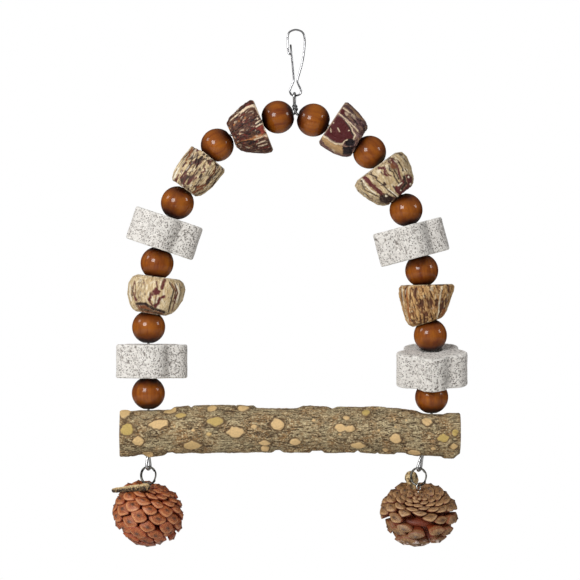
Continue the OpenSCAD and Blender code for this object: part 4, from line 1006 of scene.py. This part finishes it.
# Each knob: share along the perch, degrees up from the front, share of the knob width
KNOBS = [(0.015, 55, 1), (0.03, 8, 1), (0.06, -20, 1), (0.115, 21, 1.5), (0.213, -33, 1.5), (0.18, 84, 1.2),
         (0.24, 88, 1.3), (0.301, 92, 1.9), (0.282, 29, 1.3), (0.34, 3, 1.4), (0.368, 88, 1.3),
         (0.427, -25, 1), (0.463, 23, 1.2), (0.515, -22, 1), (0.573, 92, 2), (0.659, 15, 1.4),
         (0.68, 88, 2.2), (0.70, -30, 1.2), (0.722, 63, 1), (0.79, 92, 0.8), (0.815, 86, 0.8),
         (0.809, -11, 1), (0.864, 96, 1.8), (0.864, -51, 1.3), (0.901, 33, 1), (0.947, -9, 1.3),
         (0.975, 88, 1.2), (0.01, -80, 1), (0.105, -96, 1.4), (0.195, -84, 1.6), (0.29, -94, 2),
         (0.36, -82, 1.6), (0.417, -88, 1.6), (0.507, -92, 1.4), (0.54, -84, 1), (0.624, -88, 1.2),
         (0.668, -94, 1.2), (0.73, -86, 1.2), (0.785, -92, 1.2), (0.98, -86, 1.4)]
# The knobs of the unseen back, and small bumps all over: the same three values; a bump's width in mm
BACK_KNOBS = [(i * 0.618 % 1, 115 + i * 0.382 % 1 * 130, 1.1) for i in range(1, 19)]
SMALL_BUMPS = [(i * 0.618 % 1, i * 137.5 % 360, 0.9 + i * 0.37 % 1 * 0.8) for i in range(1, 260)]
BUMP_HEIGHT, BUMP_STRETCH = 1.8, 1.5
# Each cut face: mm from the left end, mm above the middle line, length, height, and how yellow it is
CUT_FACES = [(2.9, 11.8, 7.2, 5.4, 0.2), (4.7, 2.3, 7.8, 6.6, 0.9), (11.3, -4.5, 7, 5.4, 0.1),
             (23.4, 4.9, 11.4, 5.4, 0), (33, 2.9, 1.8, 1.5, 0), (44.3, -0.3, 2.4, 1.8, 0),
             (36.6, 9.5, 6, 3, 0.8), (43.5, -9.6, 11.4, 5.4, 0.2), (57.4, 4.7, 10.8, 5, 0.8),
             (53.8, -2.8, 3.6, 2.4, 0.4), (55.2, 12.6, 5.4, 2.4, 0.2), (69.4, -1.4, 10.2, 6.6, 0),
             (73.7, 12.9, 7.2, 1.8, 0.1), (80.5, 2.2, 3.6, 3, 0), (94.4, 3.3, 8.4, 7.2, 0),
             (87.1, -8, 7.2, 3.6, 0), (87.1, -11.8, 5.4, 2.4, 0), (105, -7.3, 6.6, 4.8, 0),
             (116.1, 6.5, 2.4, 1.8, 0), (132, 1.9, 7, 4.8, 0), (137.6, 1.3, 6.4, 4, 0),
             (135.7, 7.8, 4.2, 3, 0), (131.7, -2.4, 2, 1.6, 0), (147.3, 10.8, 5, 2.6, 0.9),
             (142.6, -8.8, 9, 3.6, 0.1), (155, 0.6, 1.8, 1.5, 0), (165, 3.5, 1.5, 1.3, 0),
             (171.4, 8.4, 1.5, 1.3, 0), (164.3, 8.2, 1.5, 1.3, 0), (165, -3.8, 6.6, 6, 0),
             (159.3, -12, 3.6, 1.8, 0), (176.3, -10.8, 8, 3, 0), (183.8, 8.5, 6.6, 4.8, 0),
             (193.3, -1, 7, 5, 0.9), (199.8, -6.8, 5, 4, 0.2), (200.4, 2.4, 4, 5, 0.9),
             (187.6, -8.3, 3, 2, 0), (16.8, -12.9, 7, 2, 0.1), (30, 12.8, 8, 2, 0.3)]

left_foot, right_foot = perch_foot("left")[0], perch_foot("right")[0]
left_axis, right_axis = left_foot - UP * PERCH_D["left"] / 2, right_foot - UP * PERCH_D["right"] / 2
perch_way = unit((right_axis - left_axis) * [1, 0, 1])
perch_start = left_axis - perch_way * PERCH_END
hole_shares = [PERCH_END / PERCH_LENGTH, (PERCH_END + right_foot[0] - left_foot[0]) / PERCH_LENGTH]


def turn_apart(turn, other):
    """The smaller turn between two directions round the branch, in degrees, with its sign."""
    return (turn - other + 540) % 360 - 180


def perch_lift(along):
    off_middle = (2 * along - sum(hole_shares)) / (hole_shares[1] - hole_shares[0])
    return PERCH_BOW * ease(1 - off_middle ** 4)


def perch_radius(along, turn):
    """The branch's radius with its bark ridges and knobs; flat where the lowest beads sit."""
    half = PERCH_D["left"] / 2
    to_hole = np.minimum(abs(along - hole_shares[0]), abs(along - hole_shares[1])) * PERCH_LENGTH
    off_seat = ease(np.hypot(to_hole, np.radians(turn_apart(turn, 90)) * half) / (BEAD_D / 4) - 1)
    rise = np.zeros(along.shape)

    def away_from(share, degrees, stretch=1.0):
        over = np.radians(turn_apart(turn, degrees)) * half
        return np.hypot((along - share) * PERCH_LENGTH / stretch, over)

    for share, degrees, width in KNOBS + BACK_KNOBS:
        away = away_from(share, degrees) / (width * KNOB_WIDTH / 2)
        rise = np.maximum(rise, ease((1.6 - away) / 0.6))
    for share, degrees, wide in SMALL_BUMPS:
        away = away_from(share, degrees, BUMP_STRETCH) / wide
        rise = np.maximum(rise, BUMP_HEIGHT / KNOB_HEIGHT * ease(1.4 - away))
    wave = np.sin(np.radians(along * 1460 + 40 * np.sin(np.radians(turn * 2)))) \
        + np.sin(np.radians(turn * 3 + along * 290))
    core = half + (PERCH_D["right"] / 2 - half) * along
    return core * (1 + off_seat * PERCH_RIDGES * (wave - 1)) + KNOB_HEIGHT * rise * off_seat, off_seat


def cut_faces(along, turn, ragged):
    """The masks of the pale cut faces, of their dark rims, and of how yellow each is."""
    cut, rim, yellow = (np.zeros(along.shape) for _ in range(3))
    half = PERCH_D["left"] / 2
    places = [(mm, math.degrees(math.asin(max(-0.97, min(0.97, up / half)))), long, high, tone)
              for mm, up, long, high, tone in CUT_FACES]
    places += [(share * PERCH_LENGTH, degrees, 8, 5.4, 0.2) for share, degrees, _ in BACK_KNOBS]
    for mm, degrees, long, high, tone in places:
        over = np.radians(turn_apart(turn, degrees)) * half
        high = high / max(0.35, math.cos(math.radians(degrees)) if abs(degrees) < 90 else 1)
        away = (abs(along * PERCH_LENGTH - mm) / (long / 2)) ** 1.5 + (abs(over) / (high / 2)) ** 1.7
        away = away * (1 + 0.28 * ragged)
        here = ease((1.12 - away) / 0.3)
        around = ease((1.75 - away) / 0.5) * ease((away - 0.9) / 0.25) * min(1, long / 5)
        yellow = np.where(here > cut, tone, yellow)
        cut, rim = np.maximum(cut, here), np.maximum(rim, around)
    return cut, rim * (1 - cut), yellow


def bark_material():
    made, tree, shader = finish_material("perch_bark", Roughness=0.85)
    local = carried(tree, "bark", "Vector")
    fibres = mottle(tree, drawn_out(tree, local, (0.22, 1.0, 1.0)), 1.05, 3.0, 0.62, 1.2)
    patches, specks = mottle(tree, local, 0.13, 4.0, 0.6), mottle(tree, local, 0.95, 2.0, 0.6)
    pale = mix_colours(tree, carried(tree, "yellow"), colour(214, 180, 128), colour(184, 158, 88))
    pale = mix_colours(tree, 1.0, pale, ramp(tree, specks, 0.35, 0.65, 0.86, 1.04), "MULTIPLY")
    cut = carried(tree, "cut")
    tone = overlaid(tree, colour(150, 116, 74),
                    (ramp(tree, patches, 0.36, 0.64), colour(158, 142, 108)),
                    (ramp(tree, specks, 0.5, 0.62, 0.0, 0.8), colour(210, 194, 154)),
                    (ramp(tree, fibres, 0.5, 0.42), colour(68, 50, 30)),
                    (carried(tree, "crack"), colour(70, 52, 36)),
                    (carried(tree, "knob_rim"), colour(96, 72, 46)), (cut, pale))
    height = add_node(tree, "ShaderNodeMix", {"Factor": cut, "A": fibres, "B": 0.6}).outputs[0]
    plug(tree, shader, Base_Color=tone, Normal=surface_bump(tree, height, 0.5, 0.8))
    return made


stations = np.linspace(0, 1, PERCH_STATIONS)
perch_turns = np.linspace(0, 360, PERCH_TURNS, endpoint=False)
along, turn = np.meshgrid(stations, perch_turns, indexing="ij")
across_way, up_way = np.array([0.0, -1, 0]), np.cross([0, -1, 0], perch_way)


def perch_points(along, turn, radius):
    """Points on the branch in mm from their share along it, their turn and their radius."""
    a = np.radians(turn)
    return (perch_start + perch_way * PERCH_LENGTH * along[..., None]
            + UP * perch_lift(along)[..., None]
            + across_way * (radius * np.cos(a))[..., None] + up_way * (radius * np.sin(a))[..., None])


radius, off_seat = perch_radius(along, turn)
flat_bark = np.stack([along * PERCH_LENGTH, BARK_R * np.cos(np.radians(turn)),
                      BARK_R * np.sin(np.radians(turn))], -1)
ragged = noise(flat_bark / 1.6, RAGGED_SEED)
cut, knob_rim, yellow = cut_faces(along, turn, ragged)
wander = noise(flat_bark / 7, WANDER_SEED)[..., None] * np.array([0, 1.6, 1.6])
lines = layered_noise((flat_bark + wander) * [0.13, 0.75, 0.75], 2, CRACK_SEED)
crack = ease((0.09 - abs(lines)) / 0.09) * ease((noise(flat_bark / 9, CRACKED_SEED) + 0.45) / 0.5)
rough = layered_noise(flat_bark * [0.5, 1.0, 1.0] / 1.9, 3, ROUGH_SEED)
bark = (1 - cut) * (BARK_CRACKS * crack + BARK_ROUGHNESS * (0.5 - 0.5 * rough)) + RIM_DEPTH * knob_rim
from_left, from_right = along * PERCH_LENGTH, (1 - along) * PERCH_LENGTH
saw_burr = BURR_DEPTH * (ease(1 - from_left / BURR_WIDTH) + ease(1 - from_right / BURR_WIDTH))
worn_corner = CORNER_DEPTH * ease(1 - from_right / CORNER_LENGTH) \
    * ease(1 - abs(turn_apart(turn, CORNER_TURN)) / 60)
radius = radius - off_seat * bark - CUT_DEPTH * cut - saw_burr - worn_corner
inwards = np.linspace(1, 0.02, PERCH_END_ROWS)[1:, None]
sawn = np.repeat(ease((0.97 - inwards) / 0.04), PERCH_TURNS, axis=1)
blank = np.zeros_like(sawn)


def with_ends(skin, first, last):
    """The skin's rows between those of the two sawn ends, which are given from the rim inwards."""
    return np.vstack([first[::-1], skin, last])


perch_turn = with_ends(turn, turn[:len(blank)], turn[:len(blank)])
perch_radii = with_ends(radius, radius[0] * inwards, radius[-1] * inwards)
perch_all = perch_points(with_ends(along, blank, blank + 1), perch_turn, perch_radii).reshape(-1, 3)
masks = {name: with_ends(skin, end, end).ravel()
         for name, skin, end in (("crack", crack * 0.8 * (1 - cut), blank), ("yellow", yellow, blank),
                                 ("knob_rim", knob_rim * 0.85, blank), ("cut", cut, sawn))}
make_piece("perch_branch", perch_all * MM, tube_faces(len(perch_turn), PERCH_TURNS), bark_material(),
           "arch", "perch", {**masks, "bark": perch_all})

# ---------------------------------------------------------------------------------------------
# The split rings and the screw eyes. Each ring is two flat turns of dulled steel wire, jogged
# where it passes from one to the other. A small bright screw eye, closed over the ring, is
# turned into the top of each cone.
RING_D, RING_WALL, RING_TURN_T, RING_GAP = 11.6, 1.0, 0.68, 0.08
RING_JOG, RING_WOUND = 50, 652
RING_SIDES, RING_STEPS, RING_SQUARENESS, RING_SEED = 12, 150, 3.2, 400
SCREW_WIRE, SCREW_R, SCREW_LENGTH = 1.0, 2.1, 11.0
SCREW_TURN, SCREW_STEPS = (-52, 270), 40
RING_MEAN_R, RING_PITCH = (RING_D - RING_WALL) / 2, RING_TURN_T + RING_GAP


def lift_over(inner_r):
    """How far a ring of two turns sits off the bottom of a round eye."""
    return inner_r - math.sqrt(inner_r ** 2 - (RING_TURN_T * 2 + RING_GAP) ** 2 / 4)


def ring_middle(arm):
    exit_point, down, _ = eye_frame(arm)
    lift = ARCH_WIRE / 2 + LINK_PLAY + lift_over(EYE_HALF_WIDTH - ARCH_WIRE / 2)
    return exit_point + down * EYE_DROP + UP * (lift + RING_WALL / 2 - RING_MEAN_R)


ring_out = turning(2, -RING_TURN)[:, 0]
ring_finish = plated_metal("ring_wire", colour(168, 166, 158), colour(40, 38, 34), 0.24)
screw_finish = plated_metal("screw_eye_wire", colour(226, 226, 222), colour(120, 116, 108), 0.18)
for arm in SIDES:
    middle_mm = ring_middle(arm)
    wound = np.radians(np.linspace(-RING_WOUND / 2, RING_WOUND / 2, RING_STEPS))
    axial = RING_PITCH * (ease(np.degrees(wound) / RING_JOG + 0.5) - 0.5)
    ring_path = middle_mm + np.outer(axial, eye_side) \
        + RING_MEAN_R * (np.outer(np.cos(wound), ring_out) + np.outer(np.sin(wound), UP))
    points, faces, _ = bent_wire(ring_path, RING_TURN_T, RING_WALL, eye_side, RING_SIDES, RING_SQUARENESS)
    body = arm + "_ring"
    make_piece(body + "_wire", points * MM, faces, ring_finish, body, body,
               {"tarnish_and_shade": 0.72 + 0.5 * noise(points / 1.6, RING_SEED)})
    lift = RING_WALL / 2 + LINK_PLAY + lift_over(SCREW_R - SCREW_WIRE / 2) + SCREW_WIRE / 2 - SCREW_R
    screw_middle = middle_mm - UP * RING_MEAN_R + UP * lift
    bend = np.radians(np.linspace(*SCREW_TURN, SCREW_STEPS))
    screw_path = screw_middle + SCREW_R * (np.outer(np.cos(bend), eye_side) + np.outer(np.sin(bend), UP))
    shank = [screw_middle - UP * (SCREW_R + SCREW_LENGTH * t) for t in (0.12, 0.3, 0.6, 0.98)]
    screw_path = np.vstack([screw_path, shank])
    points, faces, _ = bent_wire(screw_path, SCREW_WIRE, SCREW_WIRE, ring_out, RING_SIDES)
    make_piece(arm + "_screw_eye", points * MM, faces, screw_finish, arm + "_cone", arm + "_cone_eye",
               {"tarnish_and_shade": np.full(len(points), 0.15)})

# ---------------------------------------------------------------------------------------------
# The pine cones. Two short cones hang stem end up, with thick woody scales set round them by the
# golden angle. Each scale has a lozenge face with a raised middle; the left cone is nearly closed,
# and the right cone's lower scales stand open and show their red-brown insides and resin.
GOLDEN_TURN = 137.508
SCALE_HALF_WIDTH, SCALE_HALF_HEIGHT = 0.25, 0.192
SCALE_TILT = 0.06
SCALE_DROOP, SCALE_TWIST = 0.62, 0.28
SCALE_POWER = 1.28
SCALE_UNEVEN, SCALE_WOBBLE, OPEN_FLATTER = 0.2, 0.1, 0.6
# Shares of the cone's radius: how high a face's swell, cross ridge and point are, and the lip under it
SWELL, RIDGE, POINT, LIP = 0.05, 0.016, 0.02, 0.012
# A scale's root: how far out and how far up it is, and its width as a share of the face's
ROOT_OUT, ROOT_UP, ROOT_WIDE = 0.3, 0.12, 0.16
WOBBLE_SEED, SCALE_SEED, SKIN_SEED, STALK_SEED, HOLE_SEED, RESIN_SEED, LUMP_SEED = (
    500, 501, 520, 530, 560, 570, 580)
# The scales stand from the stalk down to where the cosine is 1 less this
SCALES_REACH = 1.93
# The count and the crowding of scales at which the middle ones have their plain size
PLAIN_COUNT, PLAIN_CROWDING = 116, 1.35
# The core's width and height as shares of the cone's, and its points round and down
CORE_WIDE, CORE_TALL, CORE_TURNS, CORE_ROWS = 0.36, 0.33, 48, 24
STALK_SIDES, STALK_STEPS = 40, 40
CONE_HANG, CONE_DIP_R, CONE_DIP_LIFT = RING_D * 1.47, RING_D * 0.55, RING_D * 0.1
SCALE_TURNS = 28
SCALE_FACE_ROWS, SCALE_SIDE_ROWS = 9, 8
CORE_TONE = 0.7
# Each cone: width, height, number of scales, how they crowd at the stalk, lean forward and aside, how
# far its lower scales open and over which share of the cone, how much shade is painted into its gaps,
# how far the crown dips in mm, slot; then its stalk: start, end and their two widths in shares of the
# hanging depth
CONES = {"left": (42, 38.5, 92, 1.3, (14, 22), (0.6, 0.2, 1.0), 0.25, 2.4, "cone_red_brown",
                  ((-1.2, -0.42, 0.81), (-0.04, -0.92, 0.95), 0.2, 0.32)),
         "right": (46, 35.5, 112, 1.7, (30, 2), (1.0, 0.22, 0.3), 0.5, 5.2, "cone_tan",
                   ((-0.24, 0.52, 1.26), (-0.12, 0.3, 0.66), 0.46, 0.3))}
# Each finish: face, lighter face, middle of the face, inside, and the painted highlight on the faces' lower
# edges
CONE_TONES = {"cone_red_brown": ((160, 76, 34), (198, 118, 62), (58, 42, 32), (150, 50, 14),
                                 (226, 158, 104)),
              "cone_tan": ((140, 96, 58), (182, 140, 92), (70, 42, 28), (142, 52, 14), (212, 172, 122))}


def turned_pair(first, second, angle):
    """Two directions turned within their plane, the first towards the second."""
    cos, sin = math.cos(angle), math.sin(angle)
    return first * cos + second * sin, second * cos - first * sin


def scale_points(share, size, r, h, opened, seed):
    """One scale in the cone's own frame before its turn, with its face, middle and edge masks; the edge
    mask is a painted highlight on the face's lower edge.
    """
    uneven = noise(np.array([[seed * 3.1, 0.5, k * 7.3 + 0.5] for k in range(5)]), SCALE_SEED)
    polar = math.acos(1 - SCALES_REACH * share) + 0.035 * uneven[0]
    out = unit([math.sin(polar) / r, 0, math.cos(polar) / h])
    down, side = np.array([out[2], 0, -out[0]]), np.array([0.0, 1, 0])
    surface = np.array([r * math.sin(polar), 0, h * math.cos(polar)])
    face_middle = surface * (0.965 - 0.04 * opened + (0.05 + 0.09 * opened) * uneven[1]) \
        + down * r * 0.12 * opened
    root = surface * ROOT_OUT - down * r * ROOT_UP
    out, down = turned_pair(out, down, SCALE_DROOP * opened)
    side, down = turned_pair(side, down, SCALE_TWIST * uneven[2])
    half_w = r * SCALE_HALF_WIDTH * size * (1 + SCALE_UNEVEN * uneven[3]) * (1 - 0.02 * opened)
    half_h = r * SCALE_HALF_HEIGHT * size * (1 + SCALE_UNEVEN * uneven[4]) * (1 - OPEN_FLATTER * opened)
    cos, sin = round_line(SCALE_TURNS)
    over, below = round_line(SCALE_TURNS, SCALE_POWER)
    wobble = 1 + SCALE_WOBBLE * noise(
        np.stack([cos * 1.5, sin * 1.5, np.full(SCALE_TURNS, seed * 1.7)], -1), WOBBLE_SEED)
    rows, face, centre, edge = [], [], [], []
    for share_out in np.linspace(0.04, 1, SCALE_FACE_ROWS):
        x, y = over * half_w * share_out * wobble, below * half_h * share_out * wobble
        lower = y / half_h
        bulge = SWELL * (1 - share_out ** 2.2) + RIDGE * np.exp(-(lower / 0.13) ** 2) * (1 - share_out) \
            + POINT * math.exp(-(share_out / 0.2) ** 2) + SCALE_TILT * math.sin(polar) * lower
        rows.append(face_middle + side * x[:, None] + down * y[:, None] + out * (r * bulge)[:, None])
        # The outermost ring of each face takes the inside tone, and the gap shade darkens it: a painted
        # dark outline
        face.append(np.full(SCALE_TURNS, 1 - 0.95 * ease((share_out - 0.84) / 0.16)))
        centre.append(0.9 * np.exp(-np.hypot(x / half_w / 0.3, (lower + 0.1) / 0.24) ** 2))
        # Painted highlight: a lighter lip round the lower half of each face's edge
        edge.append(ease((share_out - 0.5) / 0.3) * ease((lower + 0.1) / 0.4))
    rim = rows[-1]
    heel = root + (rim - root) * ROOT_WIDE
    for t in np.linspace(0, 1, SCALE_SIDE_ROWS + 1)[1:]:
        full = 1 - t ** 1.6
        rows.append(heel + (rim - heel) * full - out * r * LIP * math.sin(min(1, t * 4) * math.pi / 2))
        face.append(np.full(SCALE_TURNS, 0.9 * opened * ease((0.38 - t) / 0.22)))
        centre.append(np.zeros(SCALE_TURNS))
        edge.append(np.zeros(SCALE_TURNS))
    return np.vstack(rows), np.concatenate(face), np.concatenate(centre), np.concatenate(edge)


def sunk_under(points, dip):
    """Points with those in the hollow where the ring swings lowered to the hollow's bottom."""
    off = points - dip
    room = CONE_DIP_R ** 2 - off[:, 0] ** 2 - off[:, 1] ** 2
    bottom = -np.sqrt(np.maximum(room, 0))
    lowered = points.copy()
    lowered[:, 2] = np.where((room > 0) & (off[:, 2] > bottom), dip[2] + bottom, points[:, 2])
    return lowered


def cone_material(name, face_tone, light_tone, middle_tone, inside_tone, edge_highlight_tone):
    made, tree, shader = finish_material(name, Roughness=0.55, Coat_Weight=0.15, Coat_Roughness=0.35)
    local = carried(tree, "wood", "Vector")
    lighter = ramp(tree, mottle(tree, local, 0.9, 5.0, 0.66), 0.42, 0.66)
    outside = overlaid(tree, face_tone, (lighter, light_tone), (carried(tree, "edge"), edge_highlight_tone),
                       (carried(tree, "middle"), middle_tone))
    inside = overlaid(tree, inside_tone, (lighter, face_tone), (0.75, inside_tone))
    tone = mix_colours(tree, carried(tree, "face"), inside, outside)
    # The tone mask darkens each scale by its own wood and by the shade painted into the gaps
    tone = mix_colours(tree, 1.0, tone, carried(tree, "tone"), "MULTIPLY")
    tone = mix_colours(tree, carried(tree, "resin"), tone, colour(226, 206, 196))
    fine = mottle(tree, local, 1.3, 3.0)
    plug(tree, shader, Base_Color=tone, Normal=surface_bump(tree, fine, 0.4, 0.8))
    return made


def stalk_material():
    made, tree, shader = finish_material("cone_stalk", Roughness=0.8)
    grain = mottle(tree, carried(tree, "wood", "Vector"), 1.1, 5.0)
    upper = mix_colours(tree, ramp(tree, grain, 0.44, 0.58), colour(186, 150, 100), colour(226, 206, 160))
    bark = mix_colours(tree, ramp(tree, grain, 0.52, 0.66), colour(42, 28, 18), colour(176, 144, 98))
    plug(tree, shader, Base_Color=mix_colours(tree, carried(tree, "bark_side"), upper, bark),
         Normal=surface_bump(tree, grain, 0.6, 0.9))
    return made


cone_stalk = stalk_material()
for cone_number, (arm, cone_sizes) in enumerate(CONES.items()):
    wide, tall, count, crowding, lean, opens, gap_shade, crown_dip, slot, stalk = cone_sizes
    pivot = ring_middle(arm) - UP * RING_MEAN_R
    cone_middle, dip = pivot - UP * CONE_HANG, pivot + UP * CONE_DIP_LIFT
    axes = turning(1, lean[1]) @ turning(0, lean[0])
    polar, turn = np.meshgrid(np.linspace(0.02, math.pi - 0.02, CORE_ROWS),
                              np.linspace(0, 2 * math.pi, CORE_TURNS, endpoint=False), indexing="ij")
    core_r = wide * CORE_WIDE * (1 - 0.45 * opens[0] * ease((polar - 1.2) / 0.8)) * np.sin(polar)
    core = np.stack([core_r * np.cos(turn), core_r * np.sin(turn),
                     tall * CORE_TALL * np.cos(polar)], -1).reshape(-1, 3)
    chunks = [core]
    faces = tube_faces(CORE_ROWS, CORE_TURNS)
    faces[-2:] = [end[::-1] for end in faces[-2:]]
    masks = {name: [np.full(len(core), value)]
             for name, value in (("face", 0.0), ("middle", 0.0), ("edge", 0.0), ("tone", CORE_TONE))}
    first = len(core)
    for i in range(count):
        share = ((i + 0.5) / count) ** crowding
        size = math.sqrt(PLAIN_COUNT * crowding / PLAIN_CROWDING / count) * share ** (0.5 - 0.5 / crowding)
        a, polar = math.radians(i * GOLDEN_TURN), math.acos(1 - SCALES_REACH * share)
        height = axes[2] @ [math.sin(polar) * math.cos(a), math.sin(polar) * math.sin(a), math.cos(polar)]
        opened = opens[0] * float(ease((opens[1] - height) / opens[2]))
        if (opened > 0.9 and i % 7 in (1, 4)) or (opened > 0.3 and i % 9 == 4):
            continue
        seed = cone_number * 100 + i
        local, face, centre, edge = scale_points(share, size, wide / 2, tall / 2, opened, seed)
        chunks.append((turning(2, i * GOLDEN_TURN) @ local.T).T)
        faces += [[first + k for k in reversed(corners)]
                  for corners in tube_faces(len(local) // SCALE_TURNS, SCALE_TURNS)]
        each = 0.84 + 0.2 * float(noise(np.array([[seed * 3.7, 0.5, 0.5]]))[0])
        each *= 1 - 0.22 * max(0, opened - 0.5)
        # Painted shade: gap_shade darkens the gaps and the rims of the closed scales' faces
        tone = each * (1 - gap_shade * (1 - face) * (1 - min(1, opened * 1.5)))
        for values, added in zip(masks.values(), (face, centre, edge * 0.7, tone)):
            values.append(added)
        first += len(local)
    cone = np.vstack(chunks)
    from_stalk = np.hypot(cone[:, 0], cone[:, 1]) / (wide / 2)
    cone[:, 2] -= crown_dip * ease(1.3 - 1.4 * from_stalk) * ease(cone[:, 2] / 2)
    swing = cone @ axes.T + cone_middle
    swing = swing + unit([1, 1, 1]) * 0.12 * noise(cone / 0.9, SKIN_SEED)[:, None]
    swing = sunk_under(swing, dip)
    masks = {name: np.concatenate(values) for name, values in masks.items()}
    masks["wood"] = cone + cone_number * 57.0
    low = -(swing - cone_middle)[:, 2] / tall
    drips = ease(noise(cone / 1.3, RESIN_SEED) / 0.3)
    masks["resin"] = 0.9 * opens[0] ** 3 * ease((low - 0.4) / 0.05) * drips
    body = arm + "_cone"
    cone_finish = cone_material(slot, *(colour(*tone) for tone in CONE_TONES[slot]))
    make_piece(body + "_scales", swing * MM, faces, cone_finish, body, body, masks)
    start, end = (cone_middle + np.array(place) * CONE_HANG for place in stalk[:2])
    path = start + np.outer(np.linspace(0, 1, STALK_STEPS), end - start)
    stub, stub_faces, stub_shares = bent_wire(path, 1, 1, UP, STALK_SIDES)
    on_path = start + np.outer(stub_shares, end - start)
    widths = (stalk[2] + (stalk[3] - stalk[2]) * stub_shares) * CONE_HANG
    lumps = 0.84 + 0.2 * layered_noise(stub / 1.6 + 9, 3, STALK_SEED + cone_number)
    if arm == "right":
        lumps = lumps * (1.16 - 0.36 * ease((stub_shares - 0.3) / 0.2)) \
            * (1 + 0.16 * noise(stub / 2.4, LUMP_SEED))
    stub = on_path + (stub - on_path) * (widths * lumps)[:, None]
    stub = sunk_under(stub, dip)
    holes = ease((noise(stub / 1.15 + 3, HOLE_SEED) - 0.16) / 0.12)
    below = ease(1 - (stub[:, 2] - on_path[:, 2]) / (widths * 0.35)) if arm == "left" \
        else np.maximum(ease((stub_shares - 0.36) / 0.2), holes)
    make_piece(body + "_stalk", stub * MM, stub_faces, cone_stalk, body, None,
               {"wood": stub, "bark_side": below})
